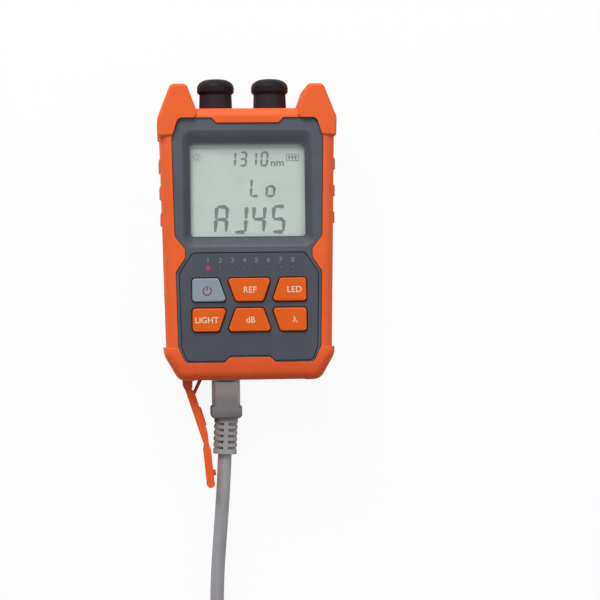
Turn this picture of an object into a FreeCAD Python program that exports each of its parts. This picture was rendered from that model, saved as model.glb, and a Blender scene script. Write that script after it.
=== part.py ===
import FreeCAD, Part
import math
import os

# Handheld optical power meter with a network lead plugged into it.
# Millimetres.  The meter lies on its back: +Z is the way its display faces, +Y points to the two
# optical ports, +X is to the right of the display.  The origin is the centre of the back face.

V = FreeCAD.Vector

# ---------------------------------------------------------------- driving dimensions
# Case
case_length = 112.6             # without the horns
case_width_top = 72.8
case_width_bottom = 68.0
case_depth = 31.8               # back face to the front of the soft grip
parting_z = 16.0                # where the two case halves meet
corner_radius_top = 7.0
bottom_corner_width = 57.2      # flat part of the bottom end between the cut corners
bottom_corner_height = 9.8
grip_wall = 1.7                 # soft skin over the hard case
grip_front_round = 4.0
grip_back_round = 3.0
wall = 2.0                      # side walls of the hard case
face_wall = 2.0
back_wall = 2.0
grip_front_cover = 1.6          # soft skin in front of the hard case
panel_drop = 0.6                # grey panel below the grip's front face
back_margin = 4.0               # soft rim round the grey back panel

# Horns and bumpers of the grip
horn_reach = 10.0               # past the top end of the case
horn_rise = 0.8                 # pads stand this far above the grip's front face
horn_side = 0.7                 # pads stand this far out of the sides
horn_pad_length = 11.9          # how far the pads run down from the top end
horn_tip_width = 6.6
horn_tip_inner_x = 25.0
horn_root_inner_x = 21.3
bumper_rise = 0.08
bumper_side = 1.1
bumper_drop = 0.2               # past the bottom end
bumper_height = 13.4            # from the bottom end up
grip_ridge_count = 3
grip_ridge_pitch = 11.15
grip_ridge_length = 5.4
grip_ridge_height = 0.65
grip_ridge_first_y = 10.8
grip_notch_count = 3
grip_notch_pitch = 12.0
grip_notch_width = 2.6
grip_notch_depth = 0.9
grip_notch_first_y = -33.2
grip_feature_inset = 5.0        # ridges and notches stop this far from the front and back faces

# Grey front panel
panel_margin = 4.7              # to the side of the case
panel_top_margin = 4.1
panel_bottom_margin = 7.3
waist_margin = 8.8
waist_top_y = -2.0
waist_bottom_y = -5.6
waist_ramp_top = 5.2
waist_ramp_bottom = 5.9
tab_depth = 2.1                 # orange tabs that reach into the panel
top_tab_width = 25.6
bottom_tab_width = 17.0
tab_ramp = 2.1

# Display
display_width = 47.5
display_height = 38.3
display_center_y = 22.25
recess_side = 3.2               # sloping rim round the window
recess_top = 5.6
recess_bottom = 4.4
recess_depth = 2.0
recess_corner = 4.0
window_margin = 1.4             # glued rim of the window behind its opening
window_thickness = 1.0
lcd_thickness = 2.6
lcd_margin = 1.1
lcd_gap = 0.3
backlight_thickness = 1.6
holder_wall = 1.4

# Keypad
plate_thickness = 1.0
plate_top_y = -3.8
plate_side_gap = 1.6            # plate edge to panel edge
plate_groove = 0.4
key_row_y = (-18.95, -31.35)
key_height = 9.6
outer_key_edge_x = 23.6
outer_key_wide_x = 9.4
outer_key_narrow_x = 12.7
middle_key_wide_x = 9.1
middle_key_narrow_x = 5.7
key_corner = 1.3
key_gap = 0.45
key_rise = 1.1                  # cap above the plate
key_edge_round = 0.5
key_flange = 1.0
key_flange_gap = 0.2
key_travel = 0.6
key_stem_radius = 1.8
switch_side = 6.0
switch_height = 3.3
switch_button_radius = 1.75
switch_button_height = 0.5

# Row of wire indicators
indicator_count = 8
indicator_pitch = 5.0
indicator_center_x = 0.6
indicator_y = -9.8
indicator_radius = 1.05
indicator_gap = 0.08
indicator_foot_radius = 1.6
indicator_foot_height = 1.0
chip_length = 1.6
chip_width = 0.8
chip_height = 0.8

# Main board and screws
board_thickness = 1.6
board_drop = 7.1                # board's upper face below the inner front face
board_gap = 0.5                 # board edge to the case wall
board_top_gap = 6.1             # board's edge to the top end
case_screw_top = (8.0, 10.2)    # from the side and from the top end
case_screw_bottom = (8.9, 10.1)
case_boss_radius = 2.9
case_well_radius = 2.5
case_well_depth = 3.0
case_well_wall = 1.1
case_screw_radius = 1.25
case_screw_head_radius = 2.3
case_screw_head_height = 1.6
case_screw_bite = 9.0           # thread length in the front half
board_screw_side = 6.7          # from the side of the case
board_screw_ys = (20.0, -36.0)
board_boss_radius = 2.0
board_screw_radius = 0.9
board_screw_head_radius = 1.8
board_screw_head_height = 1.2
board_screw_length = 4.6
screw_fit = 0.05
boss_gap = 0.4

# Optical ports
port_pitch = 22.7
port_center_x = -1.1
barrel_radius = 4.0
barrel_reach = 8.7              # out of the case
barrel_flange_radius = 5.4
barrel_flange_height = 1.4
barrel_bore = 1.65
barrel_lip_height = 0.8
barrel_hole_gap = 0.1
sleeve_wall = 0.37
sleeve_bore = 1.25
sleeve_recess = 0.6
cap_neck_radius = 6.85
cap_head_radius = 7.75
cap_head_start = 6.3            # neck length below the head
cap_head_height = 6.6
cap_gap = 0.35
cap_foot_gap = 0.3
cap_roof = 3.4
diode_radius = 2.7
diode_length = 4.0
laser_radius = 3.1
laser_length = 9.0
torch_radius = 2.5
torch_length = 7.0
torch_gap = 0.1

# Battery bay, three small cells lying across the case
cell_radius = 5.25
cell_length = 44.5
cell_button_radius = 1.9
cell_button_height = 0.9
cell_pitch = 11.0
cell_first_y = -12.0
cell_side_gap = 0.3
cell_floor_gap = 0.6
contact_space = 2.95
contact_sheet = 0.4
contact_width = 7.0
bay_wall = 1.4
bay_rib = 1.5
bay_rib_count = 3
bay_rib_pitch = 15.0
door_thickness = 1.8
door_gap = 0.3
door_ledge = 0.8
door_tongue_x = 14.0
door_tongue_width = 6.0
door_tongue_reach = 1.9
door_tongue_thickness = 1.2
door_tongue_gap = 0.3
door_slot_height = 3.2
door_catch_width = 9.0
door_catch_height = 2.2
door_thumb_radius = 5.0
door_rib_count = 4
door_rib_pitch = 1.8
door_rib_width = 0.7
door_rib_depth = 0.4

# Network jack and charging socket on the underside of the board
plug_x = -9.4
plug_width = 11.7
plug_height = 8.0
plug_length = 21.5
plug_depth = 9.2                # inside the case
plug_gap = 0.15
plug_z = 11.2
plug_edge = 0.5
plug_wire_pitch = 1.016
plug_wire_count = 8
plug_blade = 0.34
plug_blade_length = 3.2
plug_blade_height = 2.2
plug_blade_sunk = 0.25
latch_width = 6.0
latch_rise = 1.5
latch_thickness = 0.7
latch_root = 2.0
latch_bend = 12.5
latch_length = 18.5
jack_width = 16.0
jack_depth_behind = 1.8
jack_recess = 0.4               # jack's face behind the end of the case
jack_floor = 6.2                # jack's lower face under the plug's axis
jack_keyway_gap = 0.35
jack_hole_gap = 0.3
wire_thickness = 0.4
socket_z = 16.9
socket_width = 8.0
socket_length = 9.5
socket_bore = 1.8
socket_bore_depth = 8.0
socket_pin_radius = 0.55
socket_hole_radius = 2.6

# Boot on the lead
collar_width = 13.1
collar_low = 4.6                # below the plug's axis
collar_high = 6.4
collar_length = 5.2
collar_cut = 1.1
collar_over_plug = 1.0
hood_width = 10.2
hood_wall = 0.8
hood_end_gap = 1.2              # hood's end to the case
boot_width = 9.9
boot_height = 8.8
boot_length = 15.1
boot_corner = 3.5
boot_slot_count = 5
boot_slot_first = 2.5
boot_slot_pitch = 2.52
boot_slot_width = 1.15
boot_core_width = 8.4
boot_core_height = 5.8
boot_spine = 1.9
boot_rail = 0.75                # closed edge beside the windows
boot_notch = 0.4                # how far the sides are notched in line with the windows
boot_lean = 2.9                 # degrees; the lead pulls the boot over to the left

# Port cover: a soft strap on a pin, hanging open
cover_pivot_x = -25.6
cover_pivot_out = 2.5           # pin outside the end of the case
cover_angle = 17.3              # strap from straight down, towards the plug
cover_tip_angle = 5.5
cover_barrel_radius = 1.9
cover_pin_radius = 0.8
cover_pin_gap = 0.05
cover_low_z = 5.0
cover_high_z = 19.9
cover_lug_height = 2.0
cover_lug_gap = 0.3
cover_outer = 1.5               # outer face from the strap's middle line
cover_inner = 1.9
cover_block_rise = 0.6
cover_block_gap = 0.2
cover_neck = 26.0               # pivot to the soft neck
cover_neck_half = 0.95
cover_neck_offset = -0.15
cover_tip_half = 1.6
cover_tip_length = 16.3
cover_tip_height = 5.8
cover_bead_radius = 1.7
cover_nub_radius = 1.2
cover_nub_place = 11.9
cover_nub_rise = 1.1
cover_foot_reach = 5.6
cover_foot_thickness = 1.3
cover_foot_height = 4.5
cover_foot_gap = 0.3

# Lead: route of its free stretch, then the coil of its spare length
cable_radius = 2.9
coil_radius = 29.0              # middle of the turns
coil_layers = 3
coil_columns = 2
coil_center = (17.3, -193.0)
coil_entry_inset = 1.0          # the free ends run into the coil this far inside its outer face
coil_entry_lift = 0.15
coil_entry_run = 15.5           # straight run of the lead up to the coil
tie_thickness = 0.6
tie_width = 6.0
tie_gap = 0.1
tail_level = 12.0               # level run at each end of the tail
tail_slope = 16.0
far_plug_z = 4.7

# ---------------------------------------------------------------- levels and places worked out
top_y = case_length / 2
bottom_y = -case_length / 2
horn_z = case_depth + horn_rise
hard_front_z = case_depth - grip_front_cover
panel_z = case_depth - panel_drop
inner_front_z = hard_front_z - face_wall
hard_back_z = grip_front_cover
board_high_z = inner_front_z - board_drop
board_top_y = top_y - board_top_gap
board_low_z = board_high_z - board_thickness
cell_z = back_wall + cell_floor_gap + cell_radius
bay_roof_z = cell_z + cell_radius + cell_side_gap
bay_half_x = cell_length / 2 + contact_space
bay_top_y = cell_first_y + cell_radius + cell_side_gap
bay_bottom_y = cell_first_y - 2 * cell_pitch - cell_radius - cell_side_gap
door_top_y = bay_top_y + door_ledge - door_gap
door_bottom_y = bay_bottom_y - door_ledge + door_gap
door_half_x = bay_half_x + door_ledge - door_gap
port_xs = {"power": port_center_x - port_pitch / 2, "laser": port_center_x + port_pitch / 2}
port_z = parting_z
inner_top_y = top_y - grip_wall - wall
inner_bottom_y = bottom_y + grip_wall + wall
plug_front_y = bottom_y + plug_depth
plug_back_y = plug_front_y - plug_length
collar_front_y = plug_back_y + collar_over_plug
collar_back_y = collar_front_y - collar_length
cover_pivot = V(cover_pivot_x, bottom_y - cover_pivot_out, 0)
socket_x = cover_pivot_x + cover_neck + cover_nub_place


# ---------------------------------------------------------------- outlines
def half_width(y):
    """Half width of the case at a height y along its tapering sides."""
    share = (y - bottom_y) / case_length
    return (case_width_bottom + (case_width_top - case_width_bottom) * share) / 2


def symmetric(right):
    """Close a right-hand half, listed from bottom to top, with its mirror image."""
    return right + [(-x, y, r) for x, y, r in reversed(right)]


def rectangle(low_x, high_x, low_y, high_y, radius=0.0):
    return [(low_x, low_y, radius), (high_x, low_y, radius),
            (high_x, high_y, radius), (low_x, high_y, radius)]


def inset(outline, distance):
    """Move an outline inwards (outwards where negative) and keep its corners concentric."""
    count = len(outline)
    moved = []
    for i, (x, y, radius) in enumerate(outline):
        before = V(x - outline[i - 1][0], y - outline[i - 1][1], 0).normalize()
        after = V(outline[(i + 1) % count][0] - x, outline[(i + 1) % count][1] - y, 0).normalize()
        inwards = V(-before.y - after.y, before.x + after.x, 0)
        step = distance / (1 + before.dot(after))
        turn = before.cross(after).z
        rounded = radius - distance if turn > 0 else radius + distance
        moved.append((x + inwards.x * step, y + inwards.y * step, max(rounded, 0.0)))
    return moved


def outline_wire(outline, z=0.0):
    """Closed wire of straight runs and tangent arcs through (x, y, corner radius) points."""
    count = len(outline)
    ends = []
    for i, (x, y, radius) in enumerate(outline):
        corner = V(x, y, z)
        back = V(outline[i - 1][0], outline[i - 1][1], z).sub(corner)
        ahead = V(outline[(i + 1) % count][0], outline[(i + 1) % count][1], z).sub(corner)
        half = back.getAngle(ahead) / 2
        reach = min(radius / math.tan(half), 0.48 * back.Length, 0.48 * ahead.Length)
        true_radius = reach * math.tan(half)
        back.normalize()
        ahead.normalize()
        middle = V(back + ahead)
        if reach < 0.02:
            ends.append((corner, None, corner))
            continue
        middle.normalize()
        lift = true_radius / math.sin(half) - true_radius
        ends.append((corner + back * reach, corner + middle * lift, corner + ahead * reach))
    edges = []
    for i, (start, middle, end) in enumerate(ends):
        if middle is not None:
            edges.append(Part.Arc(start, middle, end).toShape())
        following = ends[(i + 1) % count][0]
        if end.distanceToPoint(following) > 1e-6:
            edges.append(Part.LineSegment(end, following).toShape())
    return Part.Wire(edges)


def body_outline():
    return symmetric([
        (bottom_corner_width / 2, bottom_y, 4.0),
        (half_width(bottom_y + bottom_corner_height), bottom_y + bottom_corner_height, 6.0),
        (half_width(top_y), top_y, corner_radius_top),
    ])


def panel_outline():
    low_y = bottom_y + panel_bottom_margin
    high_y = top_y - panel_top_margin
    waist_x = half_width(waist_top_y) - waist_margin
    upper_y = waist_top_y + waist_ramp_top
    lower_y = waist_bottom_y - waist_ramp_bottom
    side_low_y = low_y + 6.7
    side_high_y = high_y - 8.7
    return symmetric([
        (bottom_tab_width / 2, low_y + tab_depth, 0.8),
        (bottom_tab_width / 2 + tab_ramp, low_y, 0.8),
        (half_width(low_y) - panel_margin - 2.8, low_y, 2.5),
        (half_width(side_low_y) - panel_margin, side_low_y, 3.0),
        (half_width(lower_y) - panel_margin, lower_y, 2.5),
        (waist_x, waist_bottom_y, 1.5),
        (waist_x, waist_top_y, 1.5),
        (half_width(upper_y) - panel_margin, upper_y, 2.5),
        (half_width(side_high_y) - panel_margin, side_high_y, 3.0),
        (half_width(high_y) - panel_margin - 2.9, high_y, 2.5),
        (top_tab_width / 2 + tab_ramp, high_y, 0.8),
        (top_tab_width / 2, high_y - tab_depth, 0.8),
    ])


def back_outline():
    return inset(body_outline(), back_margin)


def plate_outline():
    low_y = bottom_y + panel_bottom_margin
    side_low_y = low_y + 6.7
    side_high_y = plate_top_y - 8.4
    return symmetric([
        (bottom_tab_width / 2 - 0.3, low_y + tab_depth + 0.8, 0.8),
        (bottom_tab_width / 2 + tab_ramp - 0.3, low_y + 0.8, 0.8),
        (half_width(low_y) - panel_margin - 3.6, low_y + 0.8, 2.2),
        (half_width(side_low_y) - panel_margin - plate_side_gap, side_low_y, 2.6),
        (half_width(side_high_y) - panel_margin - plate_side_gap, side_high_y, 2.5),
        (half_width(side_high_y) - panel_margin - plate_side_gap - 5.4, plate_top_y, 2.5),
    ])


def horn_outline():
    """Right horn with the pad that runs from it round the upper corner."""
    pad_low_y = top_y - horn_pad_length
    side_x = half_width(top_y) + horn_side
    return [
        (side_x - 0.25, pad_low_y, 0.8),
        (side_x, top_y - 4.0, 4.0),
        (horn_tip_inner_x + horn_tip_width, top_y + horn_reach, 2.4),
        (horn_tip_inner_x, top_y + horn_reach, 2.4),
        (horn_root_inner_x, top_y, 0.6),
        (horn_root_inner_x - 0.8, top_y - 3.2, 0.6),
        (half_width(pad_low_y) - panel_margin - 1.5, pad_low_y + 0.4, 0.6),
    ]


def bumper_region():
    """Plan of the right lower corner, where the grip is thicker."""
    low_y = bottom_y - case_depth
    high_y = bottom_y + bumper_height
    return rectangle(bottom_corner_width / 2 - 5.5, case_width_top, low_y, high_y)


# ---------------------------------------------------------------- solids
def prism(outline, low_z, high_z):
    face = Part.Face(outline_wire(outline, low_z))
    return face.extrude(V(0, 0, high_z - low_z))


def block(low_x, high_x, low_y, high_y, low_z, high_z):
    return Part.makeBox(high_x - low_x, high_y - low_y, high_z - low_z, V(low_x, low_y, low_z))


def rod(radius, start, end):
    return Part.makeCylinder(radius, start.distanceToPoint(end), start, end.sub(start))


def turned_y(outline, x, z):
    """Solid turned about a line along Y; the outline holds (radius, y, corner radius)."""
    solid = Part.Face(outline_wire(outline)).revolve(V(0, 0, 0), V(0, 1, 0), 360)
    solid.translate(V(x, 0, z))
    return solid


def round_rim(solid, z, radius):
    """Round the edges that lie at height z."""
    rim = [edge for edge in solid.Edges
           if abs(edge.BoundBox.ZMin - z) < 1e-5 and abs(edge.BoundBox.ZMax - z) < 1e-5]
    return solid.makeFillet(radius, rim)


def joined(shapes):
    whole = shapes[0]
    for shape in shapes[1:]:
        whole = whole.fuse(shape)
    return whole.removeSplitter()


def without(shape, tools):
    for tool in tools:
        shape = shape.cut(tool)
    return shape


def mirrored(shape):
    return shape.mirror(V(0, 0, 0), V(1, 0, 0))


def both_sides(shape):
    return [shape, mirrored(shape)]


def case_screw_places():
    top_side, top_end = case_screw_top
    bottom_side, bottom_end = case_screw_bottom
    high_y = top_y - top_end
    low_y = bottom_y + bottom_end
    return [(half_width(high_y) - top_side, high_y), (half_width(low_y) - bottom_side, low_y)]


def board_screw_places():
    return [(half_width(y) - board_screw_side, y) for y in board_screw_ys]


def placed_pairs(places):
    """Every place of a pattern that is repeated left and right."""
    return [(side * x, y) for x, y in places for side in (1, -1)]


# ---------------------------------------------------------------- case halves and grips
def end_openings():
    """What goes through the two ends of the case: ports, torch, jack and charging socket."""
    tools = []
    for x in port_xs.values():
        tools.append(rod(barrel_radius + barrel_hole_gap, V(x, inner_top_y - 1, port_z),
                         V(x, top_y + 1, port_z)))
    tools.append(rod(torch_radius + torch_gap, V(port_center_x, inner_top_y - 1, port_z),
                     V(port_center_x, top_y + 1, port_z)))
    half = jack_width / 2 + jack_hole_gap
    tools.append(block(plug_x - half, plug_x + half, bottom_y - 2, inner_bottom_y + 1,
                       plug_z - jack_floor - jack_hole_gap, board_low_z + jack_hole_gap))
    tools.append(rod(socket_hole_radius, V(socket_x, bottom_y - 2, socket_z),
                     V(socket_x, inner_bottom_y + 1, socket_z)))
    return tools


def grip_features():
    """Ridges that stand out of the right side and notches that are cut into it."""
    low_z = grip_feature_inset
    high_z = case_depth - grip_feature_inset
    ridges, notches = [], []
    for i in range(grip_ridge_count):
        y = grip_ridge_first_y + i * grip_ridge_pitch
        side = half_width(y)
        half = grip_ridge_length / 2
        ridge = [(side - 0.8, y - half - 0.5, 0), (side + grip_ridge_height, y - half + 0.5, 0.4),
                 (side + grip_ridge_height, y + half - 0.5, 0.4), (side - 0.8, y + half + 0.5, 0)]
        ridges.append(prism(ridge, low_z, high_z))
    for i in range(grip_notch_count):
        y = grip_notch_first_y + i * grip_notch_pitch
        side = half_width(y)
        half = grip_notch_width / 2
        notch = [(side + 0.6, y - half - 0.8, 0), (side + 0.6, y + half + 0.8, 0),
                 (side - grip_notch_depth, y, 0.4)]
        notches.append(prism(notch, -1, case_depth + 1))
    return ridges, notches


def grip_form():
    """Outer form of both soft grips in one: rounded case, horns, bumpers, ridges, notches."""
    form = prism(body_outline(), 0, case_depth)
    form = round_rim(form, case_depth, grip_front_round)
    form = round_rim(form, 0, grip_back_round)
    ridges, notches = grip_features()
    notches = [notch.common(block(0, case_width_top, bottom_y, top_y, grip_feature_inset,
                                  case_depth - grip_feature_inset)) for notch in notches]
    horn = prism(horn_outline(), 0, horn_z)
    horn = round_rim(horn, horn_z, 1.2)
    horn = round_rim(horn, 0, 1.2)
    bumper = prism(inset(body_outline(), -bumper_side), 0, case_depth + bumper_rise)
    bumper = round_rim(bumper, case_depth + bumper_rise, grip_front_round)
    bumper = round_rim(bumper, 0, grip_back_round)
    bumper.translate(V(0, bumper_side - bumper_drop, 0))
    bumper = bumper.common(prism(bumper_region(), -1, horn_z))
    added = []
    for part in ridges + [horn, bumper]:
        added += both_sides(part)
    form = joined([form] + added)
    cuts = []
    for notch in notches:
        cuts += both_sides(notch)
    return without(form, cuts)


def hard_form():
    """Outer form of both hard case halves in one, with the raised front and back panels."""
    form = prism(inset(body_outline(), grip_wall), hard_back_z, hard_front_z)
    form = round_rim(form, hard_front_z, grip_front_round - grip_wall)
    form = round_rim(form, hard_back_z, max(grip_back_round - grip_wall, 0.5))
    panel = prism(panel_outline(), hard_front_z - 1, panel_z)
    panel = round_rim(panel, panel_z, 0.4)
    back = prism(back_outline(), 0, hard_back_z + 1)
    return joined([form, panel, back])


def below_parting(shape):
    span = case_length * 2
    return shape.common(block(-span, span, -span, span, -span, parting_z))


def above_parting(shape):
    span = case_length * 2
    return shape.common(block(-span, span, -span, span, parting_z, span))


def cover_lug(low_z):
    """Ear on the end of the grip that holds the port cover's pin."""
    x, y = cover_pivot.x, cover_pivot.y
    radius = cover_barrel_radius
    ear = rod(radius, V(x, y, low_z), V(x, y, low_z + cover_lug_height))
    web = block(x - radius, x + radius, y, bottom_y + 0.5, low_z, low_z + cover_lug_height)
    hole = rod(cover_pin_radius, V(x, y, low_z - 1), V(x, y, low_z + cover_lug_height + 1))
    return ear.fuse(web).cut(hole)


def make_grips(hard):
    opening = prism(panel_outline(), hard_front_z, horn_z + 1)
    form = without(grip_form(), [hard, opening] + end_openings())
    front = above_parting(form)
    front_lug = cover_lug(cover_high_z + cover_lug_gap)
    rear = below_parting(form)
    rear_lug = cover_lug(cover_low_z - cover_lug_gap - cover_lug_height)
    pin_low = cover_low_z - cover_lug_gap - cover_lug_height
    pin_high = cover_high_z + cover_lug_gap + cover_lug_height
    pin = rod(cover_pin_radius, V(cover_pivot.x, cover_pivot.y, pin_low),
              V(cover_pivot.x, cover_pivot.y, pin_high))
    return {
        "front_grip": joined([front, front_lug.cut(hard)]),
        "rear_grip": joined([rear, rear_lug.cut(hard)]),
        "port_cover_pin": pin,
    }


def display_box(grow_side, grow_top, grow_bottom):
    half = display_width / 2
    return (-half - grow_side, half + grow_side,
            display_center_y - display_height / 2 - grow_bottom,
            display_center_y + display_height / 2 + grow_top)


def display_cuts():
    """Sloping recess and the window opening at its foot."""
    floor_z = panel_z - recess_depth
    mouth = rectangle(*display_box(recess_side, recess_top, recess_bottom), recess_corner)
    foot = rectangle(*display_box(0.5, 0.5, 0.5), 1.8)
    # The slope is carried on past the face of the panel, so that its mouth stays sharp there.
    grow = 0.25
    over = 1 + grow
    high = [tuple(f + (m - f) * over for m, f in zip(mp, fp)) for mp, fp in zip(mouth, foot)]
    slope = Part.makeLoft([outline_wire(foot, floor_z),
                           outline_wire(high, floor_z + recess_depth * over)], True, True)
    opening = prism(rectangle(*display_box(0, 0, 0), 1.3), inner_front_z - 1, floor_z + 0.1)
    return [slope, opening]


def key_outlines():
    """Outline of each key; the slanting edges of neighbours run side by side."""
    upper_y, lower_y = key_row_y
    half = key_height / 2
    radius = key_corner
    right_upper = [(outer_key_wide_x, upper_y - half, radius),
                   (outer_key_edge_x, upper_y - half, radius),
                   (outer_key_edge_x, upper_y + half, radius),
                   (outer_key_narrow_x, upper_y + half, radius)]
    right_lower = [(outer_key_narrow_x, lower_y - half, radius),
                   (outer_key_edge_x, lower_y - half, radius),
                   (outer_key_edge_x, lower_y + half, radius),
                   (outer_key_wide_x, lower_y + half, radius)]
    left_upper = [(-x, y, r) for x, y, r in reversed(right_upper)]
    left_lower = [(-x, y, r) for x, y, r in reversed(right_lower)]
    return {
        "power_key": left_upper,
        "ref_key": symmetric([(middle_key_narrow_x, upper_y - half, radius),
                              (middle_key_wide_x, upper_y + half, radius)]),
        "led_key": right_upper,
        "light_key": left_lower,
        "db_key": symmetric([(middle_key_wide_x, lower_y - half, radius),
                             (middle_key_narrow_x, lower_y + half, radius)]),
        "wavelength_key": right_lower,
    }


def key_middle(outline):
    xs = [x for x, y, r in outline]
    ys = [y for x, y, r in outline]
    return sum(xs) / len(xs), sum(ys) / len(ys)


def indicator_places():
    first = indicator_center_x - indicator_pitch * (indicator_count - 1) / 2
    return [(first + i * indicator_pitch, indicator_y) for i in range(indicator_count)]


def panel_holes(low_z):
    """Key openings and indicator holes, through the plate and the case face behind it."""
    tools = [prism(inset(outline, -key_gap), low_z, panel_z + 1)
             for outline in key_outlines().values()]
    for x, y in indicator_places():
        tools.append(rod(indicator_radius + indicator_gap, V(x, y, low_z), V(x, y, panel_z + 1)))
    return tools


def make_front_housing(hard):
    shell = above_parting(hard)
    cavity = prism(inset(body_outline(), grip_wall + wall), parting_z - 1, inner_front_z)
    shell = shell.cut(cavity)
    posts = []
    for x, y in placed_pairs(case_screw_places()):
        post = rod(case_boss_radius, V(x, y, parting_z), V(x, y, inner_front_z + 0.5))
        hole = rod(case_screw_radius + screw_fit, V(x, y, parting_z - 1),
                   V(x, y, parting_z + case_screw_bite + 0.5))
        posts.append((post, hole))
    for x, y in placed_pairs(board_screw_places()):
        post = rod(board_boss_radius, V(x, y, board_high_z), V(x, y, inner_front_z + 0.5))
        hole = rod(board_screw_radius + screw_fit, V(x, y, board_high_z - 1),
                   V(x, y, board_high_z + board_screw_length + 0.3))
        posts.append((post, hole))
    shell = joined([shell] + [post for post, hole in posts])
    pocket = prism(inset(plate_outline(), -plate_groove), panel_z - plate_thickness, panel_z + 1)
    tools = [hole for post, hole in posts] + display_cuts() + [pocket]
    tools += panel_holes(inner_front_z - 1) + end_openings()
    return without(shell, tools)


def make_rear_housing(hard):
    shell = below_parting(hard)
    cavity = prism(inset(body_outline(), grip_wall + wall), hard_back_z + back_wall, parting_z + 1)
    pocket = prism(inset(back_outline(), back_wall), back_wall, parting_z)
    shell = without(shell, [cavity, pocket])
    bay = block(-bay_half_x - bay_wall, bay_half_x + bay_wall, bay_bottom_y - bay_wall,
                bay_top_y + bay_wall, 0.5, bay_roof_z + bay_wall)
    added = [bay]
    wells = []
    for x, y in placed_pairs(case_screw_places()):
        added.append(rod(case_well_radius + case_well_wall, V(x, y, 0.3),
                         V(x, y, case_well_depth + back_wall)))
        added.append(rod(case_boss_radius, V(x, y, 1), V(x, y, parting_z)))
        wells.append(rod(case_well_radius, V(x, y, -1), V(x, y, case_well_depth)))
        wells.append(rod(case_screw_radius + screw_fit, V(x, y, 1), V(x, y, parting_z + 1)))
    shell = joined([shell] + added)
    space = block(-bay_half_x, bay_half_x, bay_bottom_y, bay_top_y, -1, bay_roof_z)
    cells = [rod(cell_radius + cell_side_gap, V(-bay_half_x, y, cell_z), V(bay_half_x, y, cell_z))
             for y in cell_rows()]
    ribs = []
    first = -bay_rib_pitch * (bay_rib_count - 1) / 2
    for i in range(bay_rib_count):
        x = first + i * bay_rib_pitch
        rib = block(x - bay_rib / 2, x + bay_rib / 2, bay_bottom_y, bay_top_y,
                    cell_z + 1.0, bay_roof_z)
        ribs.append(without(rib, cells))
    space = without(space, ribs)
    seat = block(-door_half_x - door_gap, door_half_x + door_gap, door_bottom_y - door_gap,
                 door_top_y + door_gap, -1, back_wall)
    slots = [block(side * door_tongue_x - door_tongue_width / 2 - door_gap,
                   side * door_tongue_x + door_tongue_width / 2 + door_gap,
                   bay_top_y - 1, bay_top_y + bay_wall + 1, back_wall, back_wall + door_slot_height)
             for side in (1, -1)]
    return without(shell, wells + [space, seat] + slots + end_openings())


# ---------------------------------------------------------------- keypad, display, board
def make_keypad():
    low_z = panel_z - plate_thickness
    plate = without(prism(plate_outline(), low_z, panel_z), panel_holes(low_z - 1))
    nodes = {"keypad_plate": plate}
    flange_high = inner_front_z - key_flange_gap
    flange_low = flange_high - 1.0
    stem_low = board_high_z + switch_height + switch_button_height + key_travel + 0.1
    switches = []
    for name, outline in key_outlines().items():
        cap = round_rim(prism(outline, flange_high - 0.5, panel_z + key_rise),
                        panel_z + key_rise, key_edge_round)
        flange = prism(inset(outline, -key_flange), flange_low, flange_high)
        x, y = key_middle(outline)
        stem = rod(key_stem_radius, V(x, y, stem_low), V(x, y, flange_low + 0.5))
        nodes[name] = joined([cap, flange, stem])
        half = switch_side / 2
        body = block(x - half, x + half, y - half, y + half,
                     board_high_z, board_high_z + switch_height)
        button = rod(switch_button_radius, V(x, y, board_high_z + switch_height - 0.5),
                     V(x, y, board_high_z + switch_height + switch_button_height))
        switches.append(joined([body, button]))
    nodes["key_switches"] = Part.makeCompound(switches)
    return nodes


def make_indicators():
    lenses, chips = [], []
    foot_z = board_high_z + chip_height
    for x, y in indicator_places():
        lens = rod(indicator_radius, V(x, y, foot_z), V(x, y, panel_z))
        foot = rod(indicator_foot_radius, V(x, y, foot_z), V(x, y, foot_z + indicator_foot_height))
        lenses.append(joined([lens, foot]))
        chips.append(block(x - chip_length / 2, x + chip_length / 2, y - chip_width / 2,
                           y + chip_width / 2, board_high_z, foot_z))
    return {
        "indicator_lit": lenses[0],
        "indicator_lenses": Part.makeCompound(lenses[1:]),
        "indicator_chips": Part.makeCompound(chips),
    }


def make_display():
    window_high = inner_front_z
    window = prism(rectangle(*display_box(window_margin, window_margin, window_margin), 2.0),
                   window_high - window_thickness, window_high)
    lcd_high = window_high - window_thickness - lcd_gap
    lcd_low = lcd_high - lcd_thickness
    lcd_box = display_box(lcd_margin, lcd_margin, lcd_margin)
    lcd = prism(rectangle(*lcd_box), lcd_low, lcd_high)
    light_low = lcd_low - backlight_thickness
    light = prism(rectangle(*lcd_box), light_low, lcd_low)
    outer = [lcd_box[0] - holder_wall, lcd_box[1] + holder_wall,
             lcd_box[2] - holder_wall, lcd_box[3] + holder_wall]
    holder = prism(rectangle(*outer, 1.0), board_high_z, lcd_high)
    space = prism(rectangle(*lcd_box), light_low, lcd_high + 1)
    under = prism(rectangle(lcd_box[0] + 2, lcd_box[1] - 2, lcd_box[2] + 2, lcd_box[3] - 2, 1.0),
                  board_high_z - 1, light_low + 1)
    return {
        "display_window": window,
        "lcd_panel": lcd,
        "lcd_backlight": light,
        "lcd_holder": without(holder, [space, under]),
    }


def board_chip_places():
    """Middle x, distance from the board's top edge, width and length of each chip."""
    near_ports = [(x, 11.5, 6.0, 5.0) for x in port_xs.values()]
    return near_ports + [(port_center_x, 20.5, 12.0, 12.0), (port_xs["laser"] + 3.0, 37.5, 8.0, 7.0)]


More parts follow.
